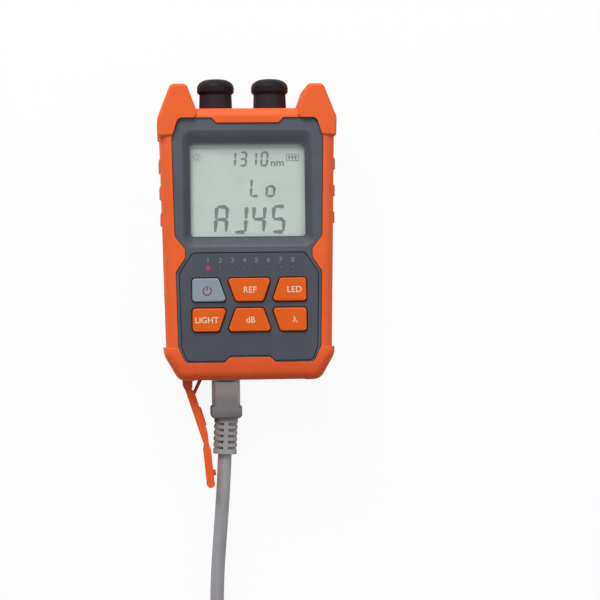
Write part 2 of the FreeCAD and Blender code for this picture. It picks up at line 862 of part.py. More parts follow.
def make_board():
    board = prism(inset(body_outline(), grip_wall + wall + board_gap), board_low_z, board_high_z)
    span = case_width_top
    board = board.common(block(-span, span, 2 * bottom_y, board_top_y, 0, case_depth))
    cuts = [rod(case_boss_radius + boss_gap, V(x, y, board_low_z - 1), V(x, y, board_high_z + 1))
            for x, y in placed_pairs(case_screw_places())]
    screws = []
    for x, y in placed_pairs(board_screw_places()):
        cuts.append(rod(board_screw_radius + screw_fit, V(x, y, board_low_z - 1),
                        V(x, y, board_high_z + 1)))
        shank = rod(board_screw_radius, V(x, y, board_low_z - 0.3),
                    V(x, y, board_high_z + board_screw_length))
        head = rod(board_screw_head_radius, V(x, y, board_low_z - board_screw_head_height),
                   V(x, y, board_low_z))
        screws.append(joined([shank, head]))
    chip_low = board_low_z - 1.6
    chips = [block(x - width / 2, x + width / 2, board_top_y - down - length, board_top_y - down,
                   chip_low, board_low_z) for x, down, width, length in board_chip_places()]
    return {
        "main_board": without(board, cuts),
        "board_screws": Part.makeCompound(screws),
        "board_chips": Part.makeCompound(chips),
    }


def make_case_screws():
    screws = []
    for x, y in placed_pairs(case_screw_places()):
        seat = case_well_depth
        head = rod(case_screw_head_radius, V(x, y, seat - case_screw_head_height), V(x, y, seat))
        shank = rod(case_screw_radius, V(x, y, seat - 0.5), V(x, y, parting_z + case_screw_bite))
        slot = block(x - case_screw_head_radius, x + case_screw_head_radius, y - 0.35, y + 0.35,
                     seat - case_screw_head_height - 1, seat - case_screw_head_height + 0.7)
        cross = block(x - 0.35, x + 0.35, y - case_screw_head_radius, y + case_screw_head_radius,
                      seat - case_screw_head_height - 1, seat - case_screw_head_height + 0.7)
        inner = rod(1.5, V(x, y, 0), V(x, y, seat))
        screws.append(joined([shank, head]).cut(slot.fuse(cross).common(inner)))
    return {"case_screws": Part.makeCompound(screws)}


# ---------------------------------------------------------------- optical ports and torch
def make_port(name, x):
    tip_y = top_y + barrel_reach
    root_y = inner_top_y - barrel_flange_height
    barrel = turned_y([
        (barrel_bore, root_y, 0), (barrel_flange_radius, root_y, 0),
        (barrel_flange_radius, inner_top_y, 0), (barrel_radius, inner_top_y, 0),
        (barrel_radius, tip_y, 0.4), (sleeve_bore, tip_y, 0),
        (sleeve_bore, tip_y - barrel_lip_height, 0),
        (barrel_bore, tip_y - barrel_lip_height, 0)], x, port_z)
    sleeve = turned_y([
        (sleeve_bore, root_y + sleeve_recess, 0), (sleeve_bore + sleeve_wall, root_y + sleeve_recess, 0),
        (sleeve_bore + sleeve_wall, tip_y - barrel_lip_height, 0),
        (sleeve_bore, tip_y - barrel_lip_height, 0)], x, port_z)
    foot_y = top_y + cap_foot_gap
    head_y = foot_y + cap_head_start
    crown_y = head_y + cap_head_height
    hollow = barrel_radius + cap_gap
    roof_y = crown_y - cap_roof
    cap = turned_y([
        (hollow, foot_y, 0.2), (cap_neck_radius + 0.1, foot_y, 0.4), (cap_neck_radius - 0.1, head_y, 0),
        (cap_head_radius, head_y + 0.9, 1.0), (cap_head_radius, crown_y - 2.4, 3.2),
        (cap_head_radius * 0.65, crown_y - 0.35, 5.5), (0, crown_y, 0),
        (0, roof_y, 0), (hollow, roof_y, 0)], x, port_z)
    return {name + "_port_barrel": barrel, name + "_port_sleeve": sleeve, name + "_port_cap": cap}


def make_detectors():
    back_y = inner_top_y - barrel_flange_height
    pins_y = back_y - diode_length
    diode_x = port_xs["power"]
    can = rod(diode_radius, V(diode_x, pins_y, port_z), V(diode_x, back_y, port_z))
    pins = [block(diode_x + dx - 0.2, diode_x + dx + 0.2, pins_y - 1.2, pins_y - 0.8,
                  port_z, board_low_z) for dx in (-1.27, 1.27)]
    legs = [block(diode_x + dx - 0.2, diode_x + dx + 0.2, pins_y - 1.2, pins_y + 0.2,
                  port_z, port_z + 0.4) for dx in (-1.27, 1.27)]
    laser_x = port_xs["laser"]
    laser = rod(laser_radius, V(laser_x, back_y - laser_length, port_z), V(laser_x, back_y, port_z))
    saddle = block(laser_x - 2.0, laser_x + 2.0, back_y - laser_length + 1, back_y - 1.5,
                   port_z + laser_radius - 0.9, board_low_z)
    torch_tip = top_y - 0.6
    dome = Part.makeSphere(torch_radius, V(port_center_x, torch_tip - torch_radius, port_z))
    bulb = rod(torch_radius, V(port_center_x, torch_tip - torch_length, port_z),
               V(port_center_x, torch_tip - torch_radius, port_z))
    flange = rod(torch_radius + 0.5, V(port_center_x, inner_top_y - 1.0, port_z),
                 V(port_center_x, inner_top_y, port_z))
    leads = [block(port_center_x + dx - 0.25, port_center_x + dx + 0.25,
                   torch_tip - torch_length - 1.5, torch_tip - torch_length - 1.0,
                   port_z, board_low_z) for dx in (-1.27, 1.27)]
    bends = [block(port_center_x + dx - 0.25, port_center_x + dx + 0.25,
                   torch_tip - torch_length - 1.5, torch_tip - torch_length + 0.2,
                   port_z, port_z + 0.5) for dx in (-1.27, 1.27)]
    return {
        "photodiode": joined([can] + pins + legs),
        "fault_laser": joined([laser, saddle]),
        "torch_led": joined([dome, bulb, flange] + leads + bends),
    }


# ---------------------------------------------------------------- battery bay
def cell_rows():
    return [cell_first_y - i * cell_pitch for i in range(3)]


def make_battery():
    nodes = {}
    half = cell_length / 2
    contacts = []
    for i, y in enumerate(cell_rows()):
        side = 1 if i % 2 == 0 else -1
        can = rod(cell_radius, V(-half * side, y, cell_z), V((half - cell_button_height) * side, y, cell_z))
        button = rod(cell_button_radius, V(0, y, cell_z), V(half * side, y, cell_z))
        nodes["battery_cell_%d" % (i + 1)] = joined([can, button])
        for end in (1, -1):
            contacts.append(cell_contact(y, end))
    nodes["cell_contacts"] = Part.makeCompound(contacts)
    return nodes


def cell_contact(y, end):
    """Sheet contact with a leaf that is bent out to the end of a cell."""
    back = bay_half_x
    face = back - contact_sheet
    tip = cell_length / 2
    half = contact_width / 2
    plate = block(face, back, y - half, y + half, cell_z - half, cell_z + half)
    bend = [V(face, 0, cell_z + 3.0), V(tip, 0, cell_z + 0.5), V(tip, 0, cell_z - 0.5),
            V(face, 0, cell_z - 3.0), V(face, 0, cell_z - 2.4), V(tip + contact_sheet, 0, cell_z - 0.4),
            V(tip + contact_sheet, 0, cell_z + 0.4), V(face, 0, cell_z + 2.4)]
    leaf = Part.Face(Part.makePolygon(bend + [bend[0]])).extrude(V(0, 3.0, 0))
    leaf.translate(V(0, y - 1.5, 0))
    contact = joined([plate, leaf])
    return contact if end > 0 else mirrored(contact)


def make_door():
    plate = block(-door_half_x, door_half_x, door_bottom_y, door_top_y, 0, door_thickness)
    tongue_low = back_wall + door_tongue_gap
    tongue_high = tongue_low + door_tongue_thickness
    added = []
    for side in (1, -1):
        x = side * door_tongue_x
        half = door_tongue_width / 2
        added.append(block(x - half, x + half, bay_top_y - 1.3, bay_top_y - 0.3,
                           door_thickness - 0.5, tongue_high))
        added.append(block(x - half, x + half, bay_top_y - 1.3, door_top_y + door_tongue_reach,
                           tongue_low, tongue_high))
    half = door_catch_width / 2
    added.append(block(-half, half, bay_bottom_y + 0.6, bay_bottom_y + 1.5,
                       door_thickness - 0.5, door_thickness + door_catch_height))
    added.append(block(-half, half, bay_bottom_y + door_gap, bay_bottom_y + 1.0,
                       door_thickness + door_catch_height - 1.0, door_thickness + door_catch_height))
    thumb = rod(door_thumb_radius, V(0, door_bottom_y, -door_thumb_radius + 0.8),
                V(0, door_bottom_y + 7.0, -door_thumb_radius + 0.8))
    grooves = []
    for i in range(door_rib_count):
        y = door_bottom_y + 9.5 + i * door_rib_pitch
        grooves.append(block(-8, 8, y - door_rib_width / 2, y + door_rib_width / 2,
                             -1, door_rib_depth))
    return {"battery_door": without(joined([plate] + added), [thumb] + grooves)}


# ---------------------------------------------------------------- jack and charging socket
def plug_wire_xs():
    first = -plug_wire_pitch * (plug_wire_count - 1) / 2
    return [first + i * plug_wire_pitch for i in range(plug_wire_count)]


def make_jack():
    face_y = bottom_y + jack_recess
    back_y = plug_front_y + plug_gap + jack_depth_behind
    body = block(plug_x - jack_width / 2, plug_x + jack_width / 2, face_y, back_y,
                 plug_z - jack_floor, board_low_z)
    half_x = plug_width / 2 + plug_gap
    half_z = plug_height / 2 + plug_gap
    hollow = block(plug_x - half_x, plug_x + half_x, face_y - 1, plug_front_y + plug_gap,
                   plug_z - half_z, plug_z + half_z)
    key_x = latch_width / 2 + jack_keyway_gap
    keyway = block(plug_x - key_x, plug_x + key_x, face_y - 1, plug_front_y + plug_gap,
                   plug_z, plug_z + plug_height / 2 + latch_rise + jack_keyway_gap)
    trough_x = plug_wire_pitch * plug_wire_count / 2 + 0.4
    trough_low = plug_z - half_z - 0.9
    trough = block(plug_x - trough_x, plug_x + trough_x, face_y + 1.5, plug_front_y + plug_gap,
                   trough_low, plug_z)
    half = wire_thickness / 2
    wires = [block(plug_x + x - half, plug_x + x + half, face_y + 1.5, plug_front_y + plug_gap,
                   trough_low, trough_low + 2 * wire_thickness) for x in plug_wire_xs()]
    return {
        "network_jack": without(body, [hollow, keyway, trough]),
        "jack_contacts": Part.makeCompound(wires),
    }


def make_charging_socket():
    face_y = inner_bottom_y + 0.2
    half = socket_width / 2
    low_z = 2 * socket_z - board_low_z
    body = block(socket_x - half, socket_x + half, face_y, face_y + socket_length, low_z, board_low_z)
    nose = rod(socket_hole_radius - 0.2, V(socket_x, bottom_y + 0.8, socket_z),
               V(socket_x, face_y + 0.5, socket_z))
    bore_end = bottom_y + 0.8 + socket_bore_depth
    bore = rod(socket_bore, V(socket_x, bottom_y - 1, socket_z), V(socket_x, bore_end, socket_z))
    pin = rod(socket_pin_radius, V(socket_x, bottom_y + 2.6, socket_z), V(socket_x, bore_end, socket_z))
    return {"charging_socket": joined([body, nose]).cut(bore), "socket_pin": pin}


# ---------------------------------------------------------------- lead
def plug_and_boot(prefix, lean):
    """Plug, its contact blades and its boot, pointing along +Y with the plug's axis at z = 0.

    The front of the plug lies at y = 0; the tail of the boot leans over by some degrees.
    """
    half_x, half_z = plug_width / 2, plug_height / 2
    body = block(-half_x, half_x, -plug_length, 0, -half_z, half_z)
    nose = [edge for edge in body.Edges
            if edge.BoundBox.YMin > -0.01 or edge.BoundBox.YLength > plug_length - 0.01]
    body = body.makeFillet(plug_edge, nose)
    latch_profile = [V(0, -latch_root, half_z - 0.3), V(0, -latch_bend, half_z + latch_rise),
                     V(0, -latch_length, half_z + latch_rise),
                     V(0, -latch_length, half_z + latch_rise - latch_thickness),
                     V(0, -latch_bend, half_z + latch_rise - latch_thickness),
                     V(0, -latch_root - 4.5, half_z - 0.3)]
    latch = Part.Face(Part.makePolygon(latch_profile + [latch_profile[0]]))
    latch = latch.extrude(V(latch_width, 0, 0))
    latch.translate(V(-latch_width / 2, 0, 0))
    blades = [block(x - plug_blade / 2, x + plug_blade / 2, -plug_blade_length - 0.5, -0.5,
                    -half_z + plug_blade_sunk, -half_z + plug_blade_sunk + plug_blade_height)
              for x in plug_wire_xs()]
    slots = [block(x - plug_blade / 2, x + plug_blade / 2, -plug_blade_length - 0.5, 1,
                   -half_z - 1, -half_z + plug_blade_sunk + plug_blade_height)
             for x in plug_wire_xs()]
    plug = without(joined([body, latch]), slots)

    front = -plug_length + collar_over_plug
    back = front - collar_length
    half_collar = collar_width / 2
    collar_plan = [(-half_collar, front, 0.6), (-half_collar, back + collar_cut, 0.8),
                   (-half_collar + collar_cut, back, 0.6), (half_collar - collar_cut, back, 0.6),
                   (half_collar, back + collar_cut, 0.8), (half_collar, front, 0.6)]
    collar = prism(collar_plan, -collar_low, collar_high)
    collar = round_rim(round_rim(collar, collar_high, 0.9), -collar_low, 0.9)
    hood_front = -plug_depth - hood_end_gap
    hood = block(-hood_width / 2, hood_width / 2, front - 1, hood_front, half_z + 0.1, collar_high)
    hood_sides = [edge for edge in hood.Edges
                  if edge.BoundBox.ZMin > collar_high - 0.01 and edge.BoundBox.YLength > 1]
    hood = hood.makeFillet(0.8, hood_sides)
    tunnel = block(-latch_width / 2 - 0.6, latch_width / 2 + 0.6, -latch_length - 1.5, hood_front + 1,
                   0, collar_high - hood_wall)
    seat = block(-half_x, half_x, -plug_length, 1, -half_z, half_z)
    section = rectangle(-boot_width / 2, boot_width / 2, -boot_height / 2, boot_height / 2, boot_corner)
    relief = prism(section, 0, boot_length + 0.5)
    relief.rotate(V(0, 0, 0), V(1, 0, 0), 90)
    relief.translate(V(0, back + 0.5, 0))
    core = block(-boot_core_width / 2, boot_core_width / 2, back - boot_length, back,
                 -boot_core_height / 2, boot_core_height / 2)
    spine = block(-boot_spine / 2, boot_spine / 2, back - boot_length, back, -boot_height, boot_height)
    slots = []
    for i in range(boot_slot_count):
        y = back - boot_slot_first - i * boot_slot_pitch
        low_y, high_y = y - boot_slot_width / 2, y + boot_slot_width / 2
        window_x = boot_width / 2 - boot_rail
        window = block(-window_x, window_x, low_y, high_y, -boot_height, boot_height)
        slots.append(without(window, [core, spine]))
        notch_x = boot_width / 2 - boot_notch
        notch = block(notch_x, boot_width, low_y, high_y, -boot_height, boot_height)
        slots += both_sides(notch)
    relief = without(relief, slots)
    relief.rotate(V(0, back, 0), V(0, 0, 1), -lean)
    boot = without(joined([collar, hood, relief]), [seat, tunnel])
    return {prefix + "_plug": plug, prefix + "_contacts": Part.makeCompound(blades),
            prefix + "_boot": boot}


def route_tube(points, radius):
    """Tube along straight runs joined by tangent arcs as large as the runs allow."""
    edges = []
    start = points[0]
    length = 0.0
    for i in range(1, len(points) - 1):
        back = points[i - 1].sub(points[i])
        ahead = points[i + 1].sub(points[i])
        turn = math.pi - back.getAngle(ahead)
        reach = 0.45 * min(back.Length, ahead.Length)
        arc_radius = reach / math.tan(turn / 2)
        back.normalize()
        ahead.normalize()
        middle = V(back + ahead)
        middle.normalize()
        arc_start = points[i] + back * reach
        arc_end = points[i] + ahead * reach
        lift = arc_radius / math.cos(turn / 2) - arc_radius
        edges.append(Part.LineSegment(start, arc_start).toShape())
        edges.append(Part.Arc(arc_start, points[i] + middle * lift, arc_end).toShape())
        start = arc_end
        print("arc radius %.1f mm, turn %.1f degrees" % (arc_radius, math.degrees(turn)))
    edges.append(Part.LineSegment(start, points[-1]).toShape())
    path = Part.Wire(edges)
    direction = points[1].sub(points[0])
    profile = Part.Wire(Part.Circle(points[0], direction, radius).toShape())
    tube = path.makePipeShell([profile], True, False)
    expected = math.pi * radius ** 2 * path.Length
    print("tube volume %.1f mm3, section times length %.1f mm3" % (tube.Volume, expected))
    return tube, path.Length


def lead_route():
    """Route of the lead from the boot to the coil, down to the table and along it."""
    rest_z = tie_thickness + cable_radius + coil_entry_lift
    entry_x = coil_center[0] - coil_radius - cable_radius + coil_entry_inset
    lean = math.radians(boot_lean)
    along = V(-math.sin(lean), -math.cos(lean), 0)
    start = V(plug_x, collar_back_y, plug_z) + along * boot_length
    return [
        start,
        start + along * 15.0,
        V(start.x - 2.2, start.y - 33.0, rest_z + 5.9),
        V(start.x - 3.7, start.y - 53.0, rest_z + 2.7),
        V(entry_x - 0.5, start.y - 73.0, rest_z + 0.5),
        V(entry_x, coil_center[1] + coil_entry_run, rest_z),
        V(entry_x, coil_center[1], rest_z),
    ]


def make_lead():
    nodes = {}
    near = plug_and_boot("lead", boot_lean)
    for name, shape in near.items():
        shape.translate(V(plug_x, plug_front_y, plug_z))
        nodes[name] = shape
    section_width = coil_columns * 2 * cable_radius
    section_height = coil_layers * 2 * cable_radius
    inner = coil_radius - section_width / 2
    outer = coil_radius + section_width / 2
    low_z = tie_thickness
    section = [(inner, low_z, cable_radius), (outer, low_z, cable_radius),
               (outer, low_z + section_height, cable_radius),
               (inner, low_z + section_height, cable_radius)]
    coil = turned_y(section, 0, 0)
    coil.rotate(V(0, 0, 0), V(1, 0, 0), 90)
    coil.translate(V(coil_center[0], coil_center[1], 0))
    tube, tube_length = route_tube(lead_route(), cable_radius)
    nodes["lead_cable"] = tube.cut(coil)
    nodes["lead_coil"] = coil

    tail_x = coil_center[0] - coil_radius - cable_radius + coil_entry_inset
    tail_y = coil_center[1]
    tail_z = low_z + 3 * cable_radius
    tail_end_y = tail_y - 2 * tail_level - tail_slope
    tail, tail_length = route_tube([
        V(tail_x, tail_y, tail_z), V(tail_x, tail_y - tail_level, tail_z),
        V(tail_x, tail_end_y + tail_level, far_plug_z), V(tail_x, tail_end_y, far_plug_z)],
        cable_radius)
    far = plug_and_boot("far", 0.0)
    full = plug_length - collar_over_plug + collar_length + boot_length
    for name, shape in far.items():
        shape.rotate(V(0, 0, 0), V(0, 0, 1), 180)
        shape.translate(V(tail_x, tail_end_y - full, far_plug_z))
        nodes[name] = shape
    nodes["lead_tail"] = tail.cut(coil)

    tie_inner = section_width / 2 + tie_gap
    high_z = low_z + section_height + tie_gap
    tie_x = coil_center[0] + coil_radius
    half = tie_width / 2
    band = block(tie_x - tie_inner - tie_thickness, tie_x + tie_inner + tie_thickness,
                 coil_center[1] - half, coil_center[1] + half, 0, high_z + tie_thickness)
    space = block(tie_x - tie_inner, tie_x + tie_inner, coil_center[1] - half - 1,
                  coil_center[1] + half + 1, low_z - 0.02, high_z)
    nodes["coil_tie"] = band.cut(space.fuse(coil))
    print("free stretch of the lead %.1f mm, tail %.1f mm" % (tube_length, tail_length))
    return nodes


# ---------------------------------------------------------------- port cover
def make_port_cover():
    """Strap on its pin; u runs along the strap from the pin, v towards its inner face."""
    low, high = cover_low_z, cover_high_z
    barrel = rod(cover_barrel_radius, V(0, 0, low), V(0, 0, high))
    neck = cover_neck_offset
    strap = prism([
        (0, -cover_outer, 0), (cover_neck, neck - cover_neck_half, 0),
        (cover_neck, neck + cover_neck_half, 0), (cover_neck - 5.0, cover_inner, 1.5),
        (3.6, cover_inner, 1.2), (1.4, 0.7, 0.4), (0, 0.7, 0)], low, high)
    block_half = plug_width / 2 - cover_block_gap
    middle = plug_x - cover_pivot_x
    block_half_z = plug_height / 2 - cover_block_gap
    filler = prism([
        (middle - block_half, cover_inner - 0.5, 0), (middle + block_half - 3.5, cover_inner - 0.5, 0),
        (middle + block_half - 3.5, cover_inner + cover_block_rise, 0.4),
        (middle - block_half, cover_inner + cover_block_rise, 0.4)],
        plug_z - block_half_z, plug_z + block_half_z)
    foot_tip = V(cover_foot_reach, cover_pivot_out - cover_foot_gap, 0)
    turn = math.radians(90 - cover_angle)
    tip_u = foot_tip.x * math.cos(turn) - foot_tip.y * math.sin(turn)
    tip_v = foot_tip.x * math.sin(turn) + foot_tip.y * math.cos(turn)
    root = V(4.6, cover_inner - 0.6, 0)
    along = V(tip_u, tip_v, 0).sub(root)
    aside = V(-along.y, along.x, 0).normalize() * (cover_foot_thickness / 2)
    corners = [root + aside, root - aside, root + along - aside, root + along + aside]
    foot = Part.Face(Part.makePolygon(corners + [corners[0]])).extrude(V(0, 0, cover_foot_height))
    foot.translate(V(0, 0, low + 0.7))
    tip_low = socket_z - cover_tip_height / 2
    tip_high = socket_z + cover_tip_height / 2
    half = cover_tip_half
    tip = prism([
        (-0.3, -cover_neck_half, 0), (1.6, -half, 0.6), (cover_tip_length, -half, 0),
        (cover_tip_length, half, 0), (1.8, half, 0.6), (-0.3, cover_neck_half, 0)],
        tip_low, tip_high)
    bead = rod(cover_bead_radius, V(cover_tip_length, 0, tip_low), V(cover_tip_length, 0, tip_high))
    nub = rod(cover_nub_radius, V(cover_nub_place, 0, socket_z),
              V(cover_nub_place, half + cover_nub_rise, socket_z))
    end = joined([tip, bead, nub])
    end.rotate(V(0, 0, 0), V(0, 0, 1), cover_tip_angle - cover_angle)
    end.translate(V(cover_neck, neck, 0))
    cover = joined([barrel, strap, filler, foot, end])
    hole = rod(cover_pin_radius + cover_pin_gap, V(0, 0, low - 1), V(0, 0, high + 1))
    cover = cover.cut(hole)
    cover.rotate(V(0, 0, 0), V(0, 0, 1), cover_angle - 90)
    cover.translate(cover_pivot)
    return {"port_cover": cover}


# ---------------------------------------------------------------- build
def build():
    hard = hard_form()
    nodes = {"front_housing": make_front_housing(hard), "rear_housing": make_rear_housing(hard)}
    nodes.update(make_grips(hard))
    nodes.update(make_keypad())
    nodes.update(make_indicators())
    nodes.update(make_display())
    nodes.update(make_board())
    nodes.update(make_case_screws())
    for name, x in port_xs.items():
        nodes.update(make_port(name, x))
    nodes.update(make_detectors())
    nodes.update(make_battery())
    nodes.update(make_door())
    nodes.update(make_jack())
    nodes.update(make_charging_socket())
    nodes.update(make_port_cover())
    nodes.update(make_lead())
    return nodes


def write(nodes):
    os.makedirs("parts", exist_ok=True)
    for name, shape in sorted(nodes.items()):
        print("%-20s solids %2d  faces %3d  volume %9.1f mm3  valid %s" % (
            name, len(shape.Solids), len(shape.Faces), shape.Volume, shape.isValid()))
        shape.exportStep("parts/%s.step" % name)


write(build())
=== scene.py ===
import logging
import math
from dataclasses import dataclass, replace
from enum import Enum
from typing import Any, Callable, Dict, Iterable, List, Optional, Sequence, Tuple, Union

import bmesh
import bpy
from bpy.types import Material, Node, NodeSocket, Object, World
from mathutils import Matrix, Vector


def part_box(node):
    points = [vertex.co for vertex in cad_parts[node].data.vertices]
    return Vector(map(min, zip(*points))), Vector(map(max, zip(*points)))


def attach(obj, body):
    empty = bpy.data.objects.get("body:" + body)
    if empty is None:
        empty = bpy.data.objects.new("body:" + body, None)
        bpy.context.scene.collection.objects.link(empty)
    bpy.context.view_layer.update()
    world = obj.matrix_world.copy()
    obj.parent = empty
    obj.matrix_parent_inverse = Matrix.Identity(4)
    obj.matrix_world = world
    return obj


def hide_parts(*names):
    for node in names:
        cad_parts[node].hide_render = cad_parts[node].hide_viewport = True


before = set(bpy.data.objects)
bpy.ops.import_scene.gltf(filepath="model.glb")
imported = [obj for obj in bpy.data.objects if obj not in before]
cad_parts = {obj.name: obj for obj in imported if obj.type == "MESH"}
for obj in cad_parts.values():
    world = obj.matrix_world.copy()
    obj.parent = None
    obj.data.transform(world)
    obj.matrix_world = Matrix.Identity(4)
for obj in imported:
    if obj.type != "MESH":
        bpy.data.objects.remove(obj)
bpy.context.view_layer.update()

LOG = logging.getLogger("meter")
MM = 0.001
Colour = Tuple[float, float, float, float]
Pair = Tuple[float, float]
Triple = Tuple[float, float, float]
Number = Union[int, float]
WHITE: Colour = (1.0, 1.0, 1.0, 1.0)


def srgb(red: Number, green: Number, blue: Number) -> Colour:
    """Return the linear colour of a red, green and blue given from 0 to 255.

    Args:
        red: Red, from 0 to 255.
        green: Green, from 0 to 255.
        blue: Blue, from 0 to 255.

    Returns:
        The linear colour with an alpha of 1.
    """
    shares = (value / 255 for value in (red, green, blue))
    linear = [s / 12.92 if s <= 0.04045 else ((s + 0.055) / 1.055) ** 2.4 for s in shares]
    return (linear[0], linear[1], linear[2], 1.0)


def scaled(colour: Colour, share: float) -> Colour:
    """Return a colour whose red, green and blue are that share of the given ones."""
    return (*(part * share for part in colour[:3]), 1.0)


def paler(colour: Colour, share: float) -> Colour:
    """Return a colour moved that share of the way to white."""
    return (*(part + (1 - part) * share for part in colour[:3]), 1.0)


def node_box(name: str) -> Tuple[Vector, Vector]:
    """Return the lowest and highest corner of a frame node.

    Args:
        name: The node's name.

    Returns:
        The two corners, in metres.
    """
    low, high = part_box(name)
    return Vector(low), Vector(high)


# ---- shader values
def operator(operation: str, swapped: bool = False) -> Callable[["Value", Any], "Value"]:
    """Return a method that joins this value and another by a Math node, swapped or not."""
    def method(self: "Value", other: Any) -> "Value":
        """Add the Math node and return what it gives."""
        pair = (other, self) if swapped else (self, other)
        return self.graph.math(operation, *pair)
    return method


class Value:
    """A shader value that adds its Math nodes as it is calculated with."""

    def __init__(self, graph: "Graph", socket: NodeSocket) -> None:
        """Wrap one output socket of a graph."""
        self.graph = graph
        self.socket = socket

    __add__ = __radd__ = operator("ADD")
    __sub__ = operator("SUBTRACT")
    __rsub__ = operator("SUBTRACT", True)
    __mul__ = __rmul__ = operator("MULTIPLY")
    __truediv__ = operator("DIVIDE")
    __pow__ = operator("POWER")
    __gt__ = operator("GREATER_THAN")
    __lt__ = operator("LESS_THAN")

    def spread(self, low: float, high: float) -> "Value":
        """Spread what lies from low to high over 0 to 1, clamped.

        Args:
            low: The value that becomes 0.
            high: The value that becomes 1.

        Returns:
            The stretched value.
        """
        return self.graph.read("ShaderNodeMapRange", "Result", {"clamp": True},
                               {0: self, 1: low, 2: high})


class Graph:
    """The node graph of one material or world."""

    def __init__(self, name: str, world: bool = False) -> None:
        """Start an empty material, or world, with that name."""
        self.owner = (bpy.data.worlds if world else bpy.data.materials).new(name)
        self.owner.use_nodes = True
        self.tree = self.owner.node_tree
        self.tree.nodes.clear()
        self.output = self.node("ShaderNodeOutputWorld" if world else "ShaderNodeOutputMaterial")

    def node(self, kind: str, settings: Optional[dict] = None,
             inputs: Optional[dict] = None) -> Node:
        """Add a node, set its options and then fill its sockets.

        Args:
            kind: The node's type name.
            settings: Options by name; "stops" fills a colour ramp.
            inputs: Numbers, colours, values or sockets by socket name or index.

        Returns:
            The new node.
        """
        made = self.tree.nodes.new(kind)
        for key, value in (settings or {}).items():
            if key == "stops":
                self._fill_ramp(made, value)
            else:
                setattr(made, key, value)
        for key, value in (inputs or {}).items():
            if isinstance(value, Value):
                self.tree.links.new(value.socket, made.inputs[key])
            elif isinstance(value, NodeSocket):
                self.tree.links.new(value, made.inputs[key])
            else:
                made.inputs[key].default_value = value
        return made

    @staticmethod
    def _fill_ramp(made: Node, stops: Sequence[Tuple[float, Colour]]) -> None:
        """Give a colour ramp its stops."""
        elements = made.color_ramp.elements
        while len(elements) < len(stops):
            elements.new(0.5)
        for element, (place, colour) in zip(elements, stops):
            element.position = place
            element.color = colour

    def read(self, kind: str, output: Union[str, int], settings: Optional[dict] = None,
             inputs: Optional[dict] = None) -> Value:
        """Add a node as node() does and return one of its outputs as a value."""
        return Value(self, self.node(kind, settings, inputs).outputs[output])

    def math(self, operation: str, first: Any, second: Any = 0.0) -> Value:
        """Add one Math node."""
        return self.read("ShaderNodeMath", "Value", {"operation": operation}, {0: first, 1: second})

    def place(self) -> Value:
        """Return the point on the surface, in metres."""
        return self.read("ShaderNodeTexCoord", "Object")

    def axes(self) -> Tuple[Value, Value, Value]:
        """Return the x, y and z of the point on the surface, in metres."""
        split = self.node("ShaderNodeSeparateXYZ", None, {0: self.place()})
        return tuple(Value(self, split.outputs[i]) for i in range(3))

    def noise(self, size: float, detail: float = 2.0, stretch: Vector = Vector((1, 1, 1))) -> Value:
        """Return a noise from 0 to 1 whose blotches have that size.

        Args:
            size: Size of a blotch, in millimetres.
            detail: Octaves of finer noise on top.
            stretch: How much longer the blotches are along each axis.

        Returns:
            The noise.
        """
        scale = [1 / (size * MM * s) for s in stretch]
        spot = self.read("ShaderNodeMapping", "Vector", {"vector_type": "POINT"},
                         {"Vector": self.place(), "Scale": scale})
        return self.read("ShaderNodeTexNoise", "Fac", None,
                         {"Vector": spot, "Scale": 1.0, "Detail": detail, "Roughness": 0.55})

    def mix(self, factor: Any, first: Any, second: Any, blend: str = "MIX") -> Value:
        """Mix two colours."""
        settings = {"data_type": "RGBA", "blend_type": blend}
        return self.read("ShaderNodeMix", 2, settings, {0: factor, 6: first, 7: second})

    def soft_edges(self, radius: float) -> Tuple[Value, Value]:
        """Round the edges in the shading only.

        Args:
            radius: The rounding, in millimetres.

        Returns:
            The rounded normal, and a mask that is 1 on edges and 0 on flats.
        """
        rounded = self.read("ShaderNodeBevel", "Normal", {"samples": 6}, {"Radius": radius * MM})
        true = self.read("ShaderNodeNewGeometry", "Normal")
        facing = self.read("ShaderNodeVectorMath", "Value", {"operation": "DOT_PRODUCT"},
                           {0: rounded, 1: true})
        return rounded, (1 - facing).spread(0.02, 0.3)

    def bump(self, height: Any, depth: float, normal: Optional[Value] = None) -> Value:
        """Turn a height from 0 to 1 into a normal.

        Args:
            height: The height.
            depth: Height of 1, in millimetres.
            normal: The normal to start from.

        Returns:
            The bumped normal.
        """
        inputs = {"Height": height, "Distance": depth * MM, "Strength": 1.0}
        if normal is not None:
            inputs["Normal"] = normal
        return self.read("ShaderNodeBump", "Normal", None, inputs)

    def principled(self, colour: Any, roughness: Any, normal: Optional[Value] = None,
                   metallic: Any = 0.0, specular: float = 0.5, glow: float = 0.0) -> Node:
        """Add the main shader."""
        inputs = {"Base Color": colour, "Roughness": roughness, "Metallic": metallic,
                  "Specular IOR Level": specular}
        if normal is not None:
            inputs["Normal"] = normal
        if glow:
            inputs.update({"Emission Color": colour, "Emission Strength": glow})
        return self.node("ShaderNodeBsdfPrincipled", None, inputs)

    def blend(self, factor: Any, first: Node, second: Node) -> Node:
        """Mix two shaders."""
        return self.node("ShaderNodeMixShader", None,
                         {0: factor, 1: first.outputs[0], 2: second.outputs[0]})

    def finish(self, shader: Node) -> Union[Material, World]:
        """Send a shader to the output and return what the graph belongs to."""
        self.tree.links.new(shader.outputs[0], self.output.inputs["Surface"])
        return self.owner


# ---- finishes
class Texture(Enum):
    """How the surface of a moulded piece is grained."""

    SATIN = "satin"
    SPARK = "spark"
    RUBBER = "rubber"
    POLISHED = "polished"


SATIN, SPARK, RUBBER, POLISHED = Texture
# Size and depth of the grain in millimetres, and how far it changes the roughness
GRAIN = {
    SATIN: (0.35, 0.010, 0.10),
    SPARK: (0.55, 0.030, 0.16),
    RUBBER: (0.40, 0.018, 0.14),
    POLISHED: (1.50, 0.004, 0.05),
}


